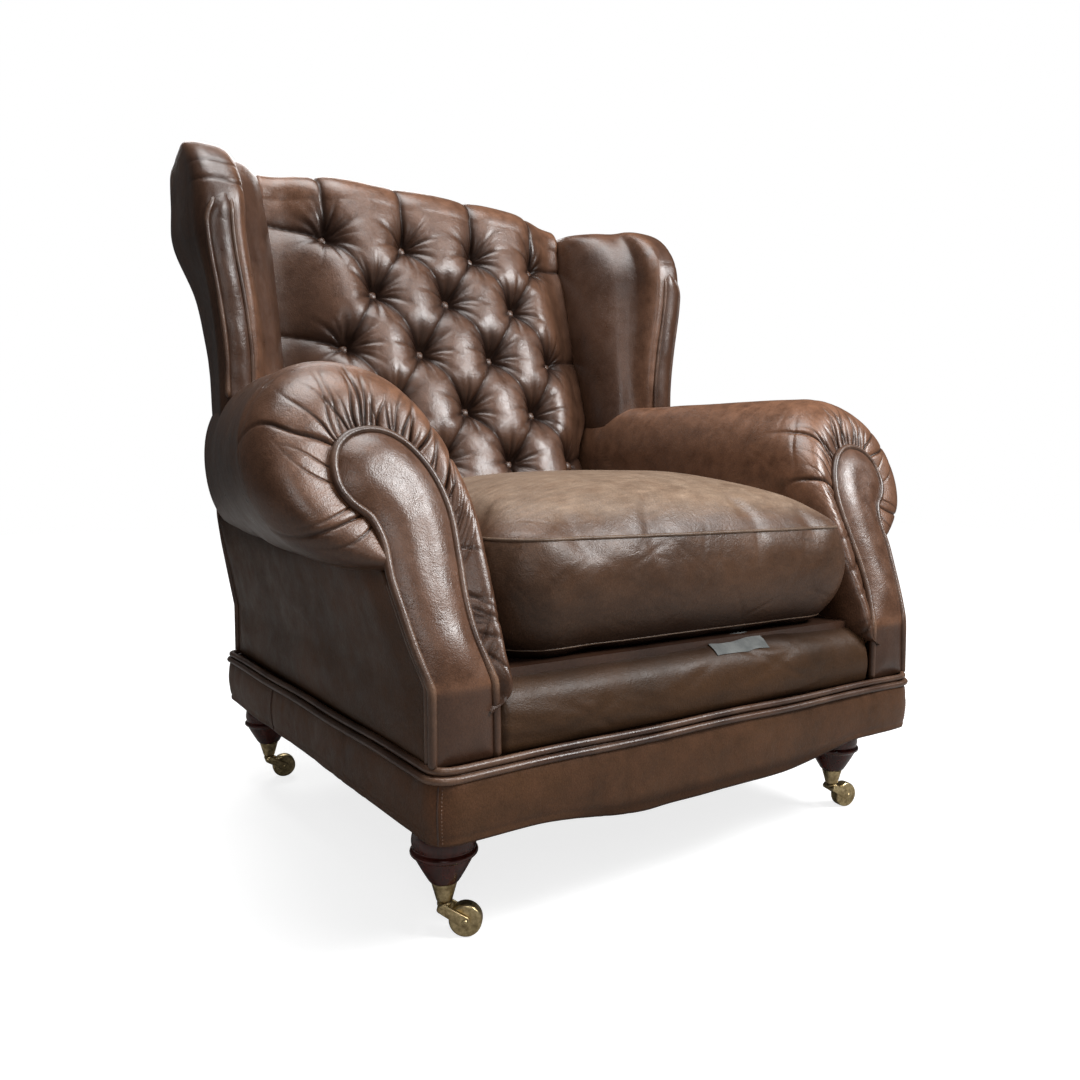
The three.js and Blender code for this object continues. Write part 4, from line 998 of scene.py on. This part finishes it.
def cushion():
    verts, faces = cushion_shape()
    piece = make_piece("seat_cushion_cover", verts, faces, leather_seat)
    round_piece(piece, 0.0078, 3)
    swell_piece(piece, 0.014)
    soften(piece, 8)
    verts = read(piece)
    between_arms = 0.3165 + 0.024 * smooth(-0.34, -0.42, verts[:, 1])
    verts[:, 0] = np.sign(verts[:, 0]) * pressed(np.abs(verts[:, 0]), between_arms)
    verts[:, 1] = pressed(verts[:, 1], 0.119)
    write_verts(piece, verts)
    modify(piece, "SUBSURF", levels=1)

    verts = read(piece)
    normals = read(piece, "normal")
    x, y, z = verts.T
    upper = smooth(0.2, 0.8, normals[:, 2])
    front = smooth(-0.3, -0.9, normals[:, 1])
    soft = fractal(verts, 6, 71) * 0.0030
    border = {"area": (-0.30, 0.30, 0.34, 0.45), "long": (0.05, 0.15), "wide": 0.0022}
    lines = np.maximum(strokes(x, z, 77, count=20, slant=(15, 75), **border),
                       strokes(x, z, 78, count=14, slant=(-70, -10), **border))
    lines = 0.0009 * front * lines
    lines += 0.0007 * upper * strokes(x, y, 81, count=46, area=(-0.28, 0.28, -0.40, 0.05), slant=(-180, 180),
                                      long=(0.05, 0.16), wide=0.0022)
    free = smooth(CUSHION_BOTTOM, CUSHION_BOTTOM + 0.02, z)
    write_verts(piece, verts + normals * ((soft - lines) * free)[:, None])
    # The top pales with wear and painted light; painted shade darkens the sides and the bottom.
    set_layer(piece.data, "wear_and_light", 0.75 * upper * smooth(0.47, 0.50, z) + 0.08)
    set_layer(piece.data, "shade", 0.30 * (1 - upper) + 0.60 * smooth(0.365, 0.320, z))
    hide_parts("seat_cushion")

    seams = []
    around = 0.02
    line = rounded_rectangle(CUSHION_HALF + around, CUSHION_FRONT - around, CUSHION_REAR + around, 0.090, 320)
    for height, thick in ((CUSHION_SEAM, 0.0024), (CUSHION_BOTTOM + 0.012, 0.0011)):
        hit = snap_to(piece, xyz(line[:, 0], line[:, 1], height))
        hit = (np.roll(hit, 1, axis=0) + hit + np.roll(hit, -1, axis=0)) / 3
        seams.append(tube(hit, thick, closed=True, sides=6))
    verts, faces = joined(seams)
    make_piece("seat_cushion_seam", verts, faces, leather_seat, wear_and_light=0.5, shade=0.25)


def snap_to(piece, points):
    """Moves each point level towards the cushion's middle, onto the piece."""
    found = []
    for point in points:
        start = Vector(point)
        target = Vector((0, CUSHION_MIDDLE, point[2]))
        found.append(cast(piece, start, (target - start).normalized()))
    return np.array(found)


# Back

BACK_LEAN = 0.344
BACK_OUT = np.array([0, -math.cos(BACK_LEAN), math.sin(BACK_LEAN)])
BACK_UP = np.array([0, math.sin(BACK_LEAN), math.cos(BACK_LEAN)])
PAD_HALF = 0.342
PILLOW_HEIGHT = 0.047
VALLEY_DEPTH = 0.012
CREASE_DEPTH = 0.0065
PIT_DEPTH = 0.029
STAR_DEPTH = 0.0042
BUTTON_ROWS = ((0.965, (0.075, 0.225)), (0.867, (0, 0.15)), (0.760, (0.075, 0.218)), (0.655, (0, 0.15)),
               (0.557, (0.075, 0.225)))
BUTTONS = [(x, z) for z, row in BUTTON_ROWS for offset in row for x in sorted({-offset, offset})]
BUTTON_PROFILE = [(0, 0.0075), (0.004, 0.0072), (0.0075, 0.0058), (0.0102, 0.0030), (0.0112, 0.0),
                  (0.0105, -0.003)]


def fold_lines():
    """Creases of the buttoned back as pairs of points in x, z, with how deep each end is."""
    lines = []
    for x, z in BUTTONS:
        for other_x, other_z in BUTTONS:
            if 0.05 < other_z - z < 0.15 and abs(other_x - x) < 0.10:
                lines.append(((x, z), (other_x, other_z), 1.0, 1.0))
        if z > 0.9:
            lines.append(((x, z), (x * 1.04, 1.23), 0.9, 0.25))
        if z < 0.6:
            lines.append(((x, z), (x * 1.02, 0.40), 0.9, 0.5))
        if abs(x) > 0.2:
            lines.append(((x, z), (math.copysign(0.36, x), z + 0.015), 0.9, 0.45))
    return lines


def pad_drop(x, z):
    """How far the back pad falls back towards the wings, in front of the posts."""
    past = np.abs(x) - 0.225
    drop = 0.56 * (past + np.sqrt(past * past + 0.0008))
    room = back_y(z) - button_y(z) - 0.018
    return room - 0.012 * np.logaddexp(0, (room - drop) / 0.012)


def tufting(x, z):
    """Height of the buttoned surface above the button plane, and how far into a crease each point is."""
    spots = np.stack([x, z], axis=1)
    valley = np.zeros(len(spots))
    crease = np.zeros(len(spots))
    for start, end, first, second in fold_lines():
        a = np.array(start)
        along = np.array(end) - a
        share = np.clip(((spots - a) @ along) / (along @ along), 0, 1)
        gap = np.linalg.norm(spots - a - share[:, None] * along, axis=1)
        if second == 1.0:
            depth = 0.50 + 0.50 * np.abs(2 * share - 1) ** 1.5
        else:
            depth = first + (second - first) * share
        valley = np.maximum(valley, depth * np.exp(-(gap / 0.026) ** 1.6))
        crease = np.maximum(crease, np.minimum(1, 1.25 * depth) * np.exp(-gap / 0.0042))
    pit = np.zeros(len(spots))
    star = np.zeros(len(spots))
    rng = np.random.default_rng(5)
    for x0, z0 in BUTTONS:
        gap = np.hypot(x - x0, z - z0)
        angle = np.arctan2(z - z0, x - x0)
        pit = np.maximum(pit, np.exp(-(gap / 0.0255) ** 1.4))
        shift = rng.uniform(0, 6.3)
        fold = np.cos(8 * angle + shift + 1.3 * np.sin(2 * angle + shift))
        thin = np.cos(15 * angle - 2 * shift + 0.9 * np.sin(3 * angle))
        rays = ((1 + fold) / 2) ** 6 * np.exp(-(gap / 0.048) ** 2.2)
        rays = rays + 0.6 * ((1 + thin) / 2) ** 4 * np.exp(-(gap / 0.034) ** 2.2)
        star = np.maximum(star, rays * smooth(0.006, 0.014, gap))
    height = PILLOW_HEIGHT - VALLEY_DEPTH * valley - CREASE_DEPTH * crease
    height = height - PIT_DEPTH * pit - STAR_DEPTH * star
    return height, np.clip(1.1 * crease + 0.95 * pit ** 1.4 + 0.5 * star, 0, 1)


def back_pad():
    columns = 300
    straight = 240
    round_rows = 60
    low = 0.40
    across = np.linspace(-1, 1, columns)
    top = 1.100 - 0.016 * np.abs(across) ** 2.6 - 0.068
    points = []
    outs = []
    levels = []
    for row in range(straight + round_rows):
        if row < straight:
            z = low + (top - low) * row / straight
            y = button_y(z)
            lean = BACK_LEAN
            level = z
            fallen = pad_drop(across * PAD_HALF, z)
        else:
            turn = (row - straight) / (round_rows - 1) * math.pi * 0.93
            front = button_y(top)
            reach = (back_y(top) - 0.026 - front) / 2
            y = front + reach - reach * math.cos(turn)
            z = top + 0.030 * math.sin(turn)
            lean = BACK_LEAN + turn * (math.pi - BACK_LEAN) / math.pi
            level = top + 0.085 * turn
            fallen = pad_drop(across * PAD_HALF, top) * (1 - turn / math.pi)
        half = 0.318 + 0.025 * smooth(0.585, 0.655, z)
        points.append(xyz(across * half, y + fallen, z))
        outs.append(np.tile([0, -math.cos(lean), math.sin(lean)], (columns, 1)))
        levels.append(level)
    verts = np.concatenate(points)
    x = verts[:, 0]
    level = np.concatenate(levels)
    height, groove = tufting(x, level)
    over = smooth(1.05, 1.16, level)
    height = height * (1 - over) + over * (0.036 - 0.006 * groove)
    height = height * (1 - 0.75 * smooth(1.18, 1.27, level))
    side = np.abs(np.tile(across, len(points)))
    edge = np.sqrt(np.clip(1 - ((side - 0.94) / 0.06).clip(0, 1) ** 2, 0, 1))
    height = height * edge - 0.012 * (1 - edge)
    soft = fractal(verts, 12, 91) * 0.0016
    verts = verts + np.concatenate(outs) * (height + soft)[:, None]
    faces = outward(verts, grid_faces(len(points), columns), (0, 0.45, 0.65))
    # Pillow tops and the crest pale with wear and painted light; painted shade lies in the creases and pits,
    # and on the margins beside the wings, darker low down.
    wear_and_light = 0.10 + 0.35 * smooth(0.03, PILLOW_HEIGHT, height) + 0.35 * smooth(1.0, 1.1, verts[:, 2])
    margin = smooth(0.21, 0.29, np.abs(x)) * smooth(1.04, 0.86, verts[:, 2])
    piece = make_piece("back_cover", verts, faces, leather, wear_and_light=wear_and_light * (1 - 0.7 * groove),
                       shade=np.maximum(0.95 * groove, 0.6 * margin))
    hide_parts("back_pad")


def back_buttons():
    cap, faces = lathe(BUTTON_PROFILE, 20)
    sunk = PILLOW_HEIGHT - VALLEY_DEPTH - CREASE_DEPTH - PIT_DEPTH
    basis = np.stack([np.array([1.0, 0, 0]), BACK_UP, BACK_OUT])
    parts = []
    for x, z in BUTTONS:
        spot = np.array([x, button_y(z) + float(pad_drop(x, z)), z]) + BACK_OUT * (sunk + 0.001)
        parts.append((cap @ basis + spot, faces))
    verts, faces = joined(parts)
    faces = outward(verts, faces, (0, 0.5, 0.76))
    make_piece("back_buttons", verts, faces, leather, wear_and_light=0.3, shade=0.25)


OUTSIDE_BACK_EDGE = [
    (0.398, 0.2278), (0.398, 0.312), (0.408, 0.368), (0.418, 0.425), (0.424, 0.470), (0.426, 0.540),
    (0.425, 0.620), (0.422, 0.700), (0.423, 0.770), (0.430, 0.840), (0.446, 0.895), (0.454, 0.950),
    (0.452, 1.000), (0.440, 1.035), (0.404, 1.052), (0.345, 1.058), (0.18, 1.062), (0, 1.064)]


def outside_back():
    line = evenly(OUTSIDE_BACK_EDGE, 0.012)
    outline = np.concatenate([line, (line * np.array([-1, 1]))[::-1][1:]])

    def place(spots, distance):
        points = xyz(spots[:, 0], back_y(spots[:, 1]) - 0.001, spots[:, 1])
        puff = 0.003 * smooth(0, 0.012, distance) + 0.006 * smooth(0, 0.10, distance)
        puff = puff + fractal(points, 6, 51, 3) * 0.003 * smooth(0, 0.09, distance)
        slope = np.where(spots[:, 1] > BACK_KNEE, BACK_SLOPE, 0) / math.hypot(1, BACK_SLOPE)
        out = xyz(0, np.sqrt(1 - slope * slope), -slope)
        return points + out * puff[:, None], out

    verts, faces, distance = panel(outline, 0.011, place, thickness=0.006)
    wear_and_light = 0.06 + 0.22 * smooth(0.1, 0.6, fractal(verts, 5, 52))
    # Painted shade along the edge beside the piping.
    shade = 0.35 * hump(distance, 0.006)
    piece = make_piece("outside_back_cover", verts, faces, leather_outer, wear_and_light=wear_and_light, shade=shade)
    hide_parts("outside_back")
    path = evenly(outline, 0.006)
    verts, faces = tube(xyz(path[:, 0], back_y(path[:, 1]) + 0.0005, path[:, 1]), 0.0056)
    make_piece("outside_back_piping", verts, faces, piping_leather, wear_and_light=0.25 + 0.3 * noise(verts, 25, 3))


# Wings

WING_COLUMNS = 130
WING_ROUND = 0.022


def wing_ring(z, inset=0.0):
    """Closed plan line of a wing at one height; inset pulls both faces towards the middle."""
    front = float(wing_front(z))
    rear = float(back_y(z)) - 0.006

    def outer(y):
        return float(wing_outer(y, z)) - inset

    pad = float(button_y(z))
    depth = max(pad - front, 0.03)
    centre = (front + rear) / 2
    inner_rear = 0.333 + inset
    inner_front = outer(front) - 0.068 + 2 * inset
    points = np.array([
        (inner_rear, rear), (inner_rear, pad + 0.03), (inner_rear + 0.003, pad - 0.002),
        (0.5 * inner_rear + 0.5 * inner_front - 0.004, front + 0.52 * depth),
        (inner_front - 0.005, front + 0.30 * depth), (inner_front + 0.001, front + 0.016),
        (inner_front + 0.014, front + 0.001), (outer(front) - 0.034, front - 0.001),
        (outer(front) - 0.012, front), (outer(front) - 0.001, front + 0.011),
        (outer(front + 0.05) + 0.002, front + 0.05), (outer(centre) + 0.004, centre),
        (outer(rear - 0.012) + 0.001, rear - 0.012), (outer(rear) - 0.012, rear),
        (inner_rear, rear)])
    knots = lengths(points)
    line = curve(points, knots, np.linspace(0, knots[-1], WING_COLUMNS, endpoint=False))
    return xyz(line[:, 0], line[:, 1], z)


def wing(name, side):
    rings = [wing_ring(z) for z in np.linspace(0.585, WING_TOP - WING_ROUND, 70)]
    for turn in np.linspace(0, math.pi / 2, 9)[1:]:
        z = WING_TOP - WING_ROUND + WING_ROUND * math.sin(turn)
        rings.append(wing_ring(z, 0.018 * (1 - math.cos(turn))))
    verts = np.concatenate(rings)
    verts[:, 0] *= side
    faces = grid_faces(len(rings), WING_COLUMNS, loop=True)
    faces = outward(verts, faces, (0.42 * side, 0.3, 0.8)).tolist()
    last = (len(rings) - 1) * WING_COLUMNS
    caps = [list(range(WING_COLUMNS)), list(range(last, last + WING_COLUMNS))]
    caps[0 if side > 0 else 1].reverse()
    piece = make_piece(f"wing_cover_{name}", verts, faces + caps, leather)
    round_piece(piece, 0.0046, 9)

    verts = read(piece)
    along = read(piece, "normal")
    mirror = verts * np.array([side, 1, 1])
    x, y, z = mirror.T
    inner = smooth(-0.2, -0.7, along[:, 0] * side)
    puff = 0.005 * inner * hump(z - 0.86, 0.14)
    soft = fractal(mirror, 8, 110 if side < 0 else 130) * 0.0020
    nose = hump(y - wing_front(z), 0.032)
    bow = 3.0 * (x - 0.455) ** 2
    fold = hump(z - 0.984 + bow, 0.0026) + 0.8 * hump(z - 1.016 + bow, 0.0026)
    fold = fold * nose * smooth(0.40, 0.42, x) * (1 if side < 0 else 0.25)
    write_verts(piece, verts + along * (puff + soft - 0.0018 * fold)[:, None])
    # Wear and painted light on the front roll and the top; painted shade low down and in the folds.
    wear_and_light = 0.12 + 0.28 * smooth(1.0, 1.06, z) + 0.55 * nose * smooth(0.45, 0.42, x)
    set_layer(piece.data, "wear_and_light", wear_and_light)
    set_layer(piece.data, "shade", 0.30 * smooth(0.70, 0.62, z) + 0.6 * fold)
    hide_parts(f"wing_pad_{name}", f"outside_wing_{name}")
    wing_front_strip(name, side)


def strip_point(share, climb):
    """A spot of the wing's front strip: share across it, climb along it from 0 to 1."""
    z = 0.655 + 0.322 * climb
    y = wing_front(z)
    tip = smooth(0.80, 1, climb)
    x = wing_outer(y, z) - 0.010 - 0.034 * (1 - share) - 0.017 * tip * share
    return xyz(x, y - 0.003 + 0.010 * smooth(0.86, 1, climb), z)


def wing_front_strip(name, side):
    climbs = np.linspace(0, 1, 90)
    shares = np.linspace(0, 1, 22)
    share, climb = [values.ravel() for values in np.meshgrid(shares, climbs)]
    verts = strip_point(share, climb)
    faces = outward(verts, grid_faces(len(climbs), len(shares)), (0.43, 0.6, 0.75))
    along = vertex_normals(verts, faces)
    swell = np.sin(math.pi * share)
    soft = fractal(verts, 22, 7 + side) * 0.0014
    verts = verts + along * (0.006 * swell ** 0.7 + soft * swell)[:, None]
    verts, faces = mirrored(verts, faces, side)
    piece = make_piece(f"wing_strip_{name}", verts, faces, leather, wear_and_light=0.12)
    cords = []
    for share in (-0.06, 1.06):
        path = strip_point(share, climbs)
        path[:, 1] += 0.001
        cords.append(tube(evenly(path, 0.005), 0.0042))
    verts, faces = joined(cords)
    verts, faces = mirrored(verts, faces, side)
    make_piece(f"wing_piping_{name}", verts, faces, piping_leather, wear_and_light=0.25 + 0.3 * noise(verts, 30, 6))


# Underside, tab, feet and castors

def under_cloth():
    low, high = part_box("dust_cover")
    count = 40
    ease = 0.03
    x, y = [axis.ravel() for axis in np.meshgrid(np.linspace(low[0], high[0], count),
                                                 np.linspace(low[1], high[1], count), indexing="ij")]
    inner = np.minimum((x - low[0]) * (high[0] - x), ease) / ease
    inner = inner * np.minimum((y - low[1]) * (high[1] - y), ease) / ease
    points = xyz(x, y, low[2])
    points[:, 2] += 0.001 - inner * 0.006 + fractal(points, 9, 61) * 0.0012 * inner
    faces = grid_faces(count, count)
    if face_normals(points, faces)[0][2] > 0:
        faces = faces[:, ::-1]
    piece = make_piece("under_cloth", points, faces, lining)
    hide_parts("dust_cover")


def cloth_tab():
    low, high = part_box("cloth_tab")
    columns, rows = 26, 14
    x, share = np.meshgrid(np.linspace(low[0], high[0], columns), np.linspace(0, 1, rows))
    points = xyz(x, -0.430 + 0.036 * share, 0.40).reshape(-1, 3)
    border = bpy.data.objects["front_border_cover"]
    for point in points:
        point[2] = cast(border, point, (0, 0, -1))[2] + 0.0013 + 0.0006 * math.sin(point[0] * 90)
    faces = outward(points, grid_faces(rows, columns), (0.06, -0.2, 0.2))
    piece = make_piece("cloth_tab_sheet", points, faces, tab_cloth)
    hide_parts("cloth_tab")


LEG_PROFILE = [
    (0.0, 0.1445), (0.030, 0.1445), (0.0330, 0.140), (0.0350, 0.130), (0.0372, 0.121), (0.0380, 0.1160),
    (0.0380, 0.1110), (0.0366, 0.1072), (0.0360, 0.1056), (0.0378, 0.1048), (0.0397, 0.1032),
    (0.0400, 0.1012), (0.0395, 0.0992), (0.0370, 0.0976), (0.0352, 0.0962), (0.0305, 0.0874),
    (0.0255, 0.0784), (0.0210, 0.0708), (0.0182, 0.0662), (0.0165, 0.0645), (0.0, 0.0645)]
CUP_PROFILE = [
    (0.0, 0.0640), (0.0132, 0.0640), (0.0150, 0.0642), (0.0156, 0.0634), (0.0152, 0.0622),
    (0.0146, 0.0605), (0.0128, 0.0540), (0.0110, 0.0475), (0.0098, 0.0430), (0.0092, 0.0412),
    (0.0085, 0.0402), (0.0, 0.0401)]
HALF_WHEEL = [
    (0.0, 0.0098), (0.0042, 0.0098), (0.0048, 0.0092), (0.0050, 0.0086), (0.0080, 0.0084),
    (0.0135, 0.0080), (0.0150, 0.0086), (0.0176, 0.0086), (0.0189, 0.0076), (0.0195, 0.0058)]
WHEEL_PROFILE = [(radius, -y) for radius, y in HALF_WHEEL] + [(0.0196, 0.0)] + HALF_WHEEL[::-1]
CROWN_PROFILE = [
    (0, 0.0397), (0.0084, 0.0397), (0.0090, 0.0380), (0.0086, 0.0355), (0.0066, 0.0318),
    (0.0030, 0.0296), (0, 0.0292)]
RIVET_PROFILE = [(0, 0.0142), (0.0028, 0.0140), (0.0040, 0.0131), (0.0040, 0.0122)]
# Rings of a fork's bridge and of its cheeks: place along Y and size
BRIDGE_RINGS = [(-0.0126, 0.05), (-0.0126, 0.8), (-0.0118, 1.0), (-0.006, 1.06), (0, 1.08), (0.006, 1.06),
                (0.0118, 1.0), (0.0126, 0.8), (0.0126, 0.05)]
CHEEK_RINGS = [(-0.00125, 0.02), (-0.00125, 0.86), (-0.0009, 0.96), (0, 1.0), (0.0009, 0.96), (0.00125, 0.86),
               (0.00125, 0.02)]
CHEEK_PLACE = 0.01125
# Each castor's place and the direction in which it stands at rest
CASTORS = {"front_left": (-0.3533, -0.3567, -37.5), "front_right": (0.3533, -0.3567, -10),
           "rear_left": (-0.3533, 0.3033, -11), "rear_right": (0.3533, 0.3033, -24)}
TRAIL = 0.025
WHEEL_RADIUS = 0.0195


def softened(profile):
    """A profile as a fine line with its corners rounded."""
    line = evenly(profile, 0.0009)
    kernel = np.array([1, 2, 3, 2, 1]) / 9
    padded = np.concatenate([line[:1]] * 2 + [line] + [line[-1:]] * 2)
    rounded = np.stack([np.convolve(column, kernel, "valid") for column in padded.T], axis=1)
    rounded[0] = line[0]
    rounded[-1] = line[-1]
    return rounded


def upright(profile, sides, inside):
    """A profile turned round the Z axis."""
    verts, faces = lathe(softened(profile), sides)
    return verts, outward(verts, faces, (0, 0, inside))


def on_axle(profile, sides, way=1, inside=0.0):
    """A profile turned round a castor's axle."""
    verts, faces = lathe(softened(profile), sides)
    verts = xyz(verts[:, 0] + TRAIL, way * verts[:, 2], verts[:, 1] + WHEEL_RADIUS)
    return verts, outward(verts, faces, (TRAIL, way * inside, WHEEL_RADIUS))


def cheek_plate(middle):
    """One rounded cheek of a castor fork in the XZ plane, from the crown down to the axle."""
    top = np.array([-0.0005, 0.0345])
    low = np.array([TRAIL, WHEEL_RADIUS])
    ahead = (low - top) / np.linalg.norm(low - top)
    normal = np.array([-ahead[1], ahead[0]])
    base = math.atan2(ahead[1], ahead[0])
    outline = []
    for centre, radius, start, way in ((top, 0.0060, math.pi / 2, -1), (low, 0.0072, -math.pi / 2, 1)):
        for angle in base + np.linspace(start, start + math.pi, 16):
            outline.append(centre + radius * np.array([math.cos(angle), math.sin(angle)]))
        outline.append(top + (low - top) * 0.5 + way * normal * 0.0062)
    outline = np.array(outline)
    centre = outline.mean(axis=0)
    rows = []
    for push, size in CHEEK_RINGS:
        flat = centre + (outline - centre) * size
        rows.append(xyz(flat[:, 0], middle + push, flat[:, 1]))
    verts = np.concatenate(rows)
    faces = grid_faces(len(rows), len(outline), loop=True)
    return verts, outward(verts, faces, (centre[0], middle, centre[1]))


def fork_mesh():
    sides = 24
    x, z = -0.0018, 0.0340
    turn = turns(sides)
    bridge = np.concatenate([xyz(x + 0.0055 * size * np.cos(turn), y, z + 0.0046 * size * np.sin(turn))
                             for y, size in BRIDGE_RINGS])
    bridge_faces = outward(bridge, grid_faces(len(BRIDGE_RINGS), sides, loop=True), (x, 0, z))
    return joined([upright(CROWN_PROFILE, 32, 0.035), (bridge, bridge_faces),
                   cheek_plate(-CHEEK_PLACE), cheek_plate(CHEEK_PLACE),
                   on_axle(RIVET_PROFILE, 20, -1, 0.011), on_axle(RIVET_PROFILE, 20, 1, 0.011)])


def feet():
    leg = upright(LEG_PROFILE, 40, 0.1)
    cup = upright(CUP_PROFILE, 44, 0.052)
    fork = fork_mesh()
    wheel = on_axle(WHEEL_PROFILE, 56)
    for corner, (x, y, angle) in CASTORS.items():
        cosine = math.cos(math.radians(angle))
        sine = math.sin(math.radians(angle))
        spin = np.array([[cosine, sine, 0], [-sine, cosine, 0], [0, 0, 1]])
        spot = np.array([x, y, 0])
        piece = make_piece(f"turned_leg_{corner}", leg[0] + spot, leg[1], mahogany)
        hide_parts(f"leg_{corner}")
        piece = make_piece(f"cup_{corner}", cup[0] + spot, cup[1], brass)
        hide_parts(f"castor_cup_{corner}")
        piece = make_piece(f"fork_cheeks_{corner}", fork[0] @ spin + spot, fork[1], brass,
                           body=f"fork_{corner}")
        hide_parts(f"castor_fork_{corner}")
        piece = make_piece(f"wheel_rim_{corner}", wheel[0] @ spin + spot, wheel[1], brass,
                           body=f"wheel_{corner}")
        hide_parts(f"castor_wheel_{corner}")


# Floor, light and camera

WHITE = (1, 1, 1, 1)
FLOOR_HALF = 9
FLOOR_LEVEL = -0.0005
# Each lamp's place, the point it shines at, its width and height, and its power in watts
LAMPS = {"overhead": ((-0.3, -0.2, 3.0), (0, 0, 0.5), 2.0, 1.4, 78),
         "front_right": ((1.5, -2.1, 2.5), (0, 0, 0.55), 1.2, 0.9, 128),
         "front_left": ((-1.6, -2.7, 1.9), (0, 0, 0.6), 0.9, 0.9, 16),
         "rear": ((0.4, 2.6, 2.4), (0, 0, 0.7), 1.6, 1.0, 30)}


def link(name, data):
    thing = bpy.data.objects.new(name, data)
    bpy.context.scene.collection.objects.link(thing)
    return thing


def photo_camera():
    camera = link("camera", bpy.data.cameras.new("camera"))
    camera.data.lens = 29.15
    camera.data.sensor_width = 36
    camera.location = (-0.8194, -1.2359, 0.5253)
    camera.rotation_euler = (math.radians(90 - 3.747), 0, math.radians(-34.355))
    bpy.context.scene.camera = camera


def pick(tree, factor, first, second):
    """One shader or the other, by the kind of ray."""
    return node(tree, "ShaderNodeMixShader", {0: factor, 1: first, 2: second}).outputs[0]


def backdrop():
    world = bpy.data.worlds.new("studio")
    bpy.context.scene.world = world
    tree = empty_tree(world)
    path = node(tree, "ShaderNodeLightPath").outputs
    seen, mirrored_light, lit = [
        node(tree, "ShaderNodeBackground", {"Color": colour, "Strength": strength}).outputs[0]
        for colour, strength in ((WHITE, 1), (WHITE, 0.06), ((0.97, 0.98, 1, 1), 0.14))]
    shiny = node(tree, "ShaderNodeMath", {0: path["Is Glossy Ray"], 1: path["Is Transmission Ray"]},
                 operation="MAXIMUM")
    around = pick(tree, shiny.outputs[0], lit, mirrored_light)
    node(tree, "ShaderNodeOutputWorld", {"Surface": pick(tree, path["Is Camera Ray"], around, seen)})


def pale_floor():
    mesh = bpy.data.meshes.new("floor")
    corners = [(-1, -1), (1, -1), (1, 1), (-1, 1)]
    mesh.from_pydata([(x * FLOOR_HALF, y * FLOOR_HALF, FLOOR_LEVEL) for x, y in corners], [], [(0, 1, 2, 3)])
    link("floor", mesh)
    look = bpy.data.materials.new("floor")
    tree = empty_tree(look)
    path = node(tree, "ShaderNodeLightPath").outputs
    spot = node(tree, "ShaderNodeTexCoord").outputs["Object"]
    away = node(tree, "ShaderNodeVectorMath", {0: spot}, operation="LENGTH").outputs["Value"]
    fading = node(tree, "ShaderNodeMapRange", {"Value": away, "From Min": 0.5, "From Max": 2.4,
                                               "To Min": 0.80, "To Max": 1.0}).outputs["Result"]
    matt = node(tree, "ShaderNodeBsdfDiffuse", {"Color": (0.42, 0.42, 0.42, 1)}).outputs[0]
    glow = node(tree, "ShaderNodeEmission", {"Color": WHITE, "Strength": fading}).outputs[0]
    both = node(tree, "ShaderNodeAddShader", {0: matt, 1: glow}).outputs[0]
    dull = node(tree, "ShaderNodeBsdfDiffuse", {"Color": (0.30, 0.29, 0.28, 1)}).outputs[0]
    node(tree, "ShaderNodeOutputMaterial", {"Surface": pick(tree, path["Is Camera Ray"], dull, both)})
    mesh.materials.append(look)


def lamps():
    for name, (place, aim, width, height, watts) in LAMPS.items():
        light = bpy.data.lights.new(name, "AREA")
        light.shape = "RECTANGLE"
        light.size = width
        light.size_y = height
        light.energy = watts
        thing = link(name, light)
        thing.location = place
        thing.rotation_euler = (Vector(aim) - Vector(place)).to_track_quat("-Z", "Y").to_euler()


dress_cad_nodes()
for side_name, side_sign in SIDES.items():
    arm_cover(side_name, side_sign)
    facing(side_name, side_sign)
    outside_arm(side_name, side_sign)
    wing(side_name, side_sign)
plinth()
front_border()
cushion()
back_pad()
back_buttons()
outside_back()
under_cloth()
cloth_tab()
feet()
bpy.context.scene.view_settings.view_transform = "Standard"
photo_camera()
backdrop()
pale_floor()
lamps()
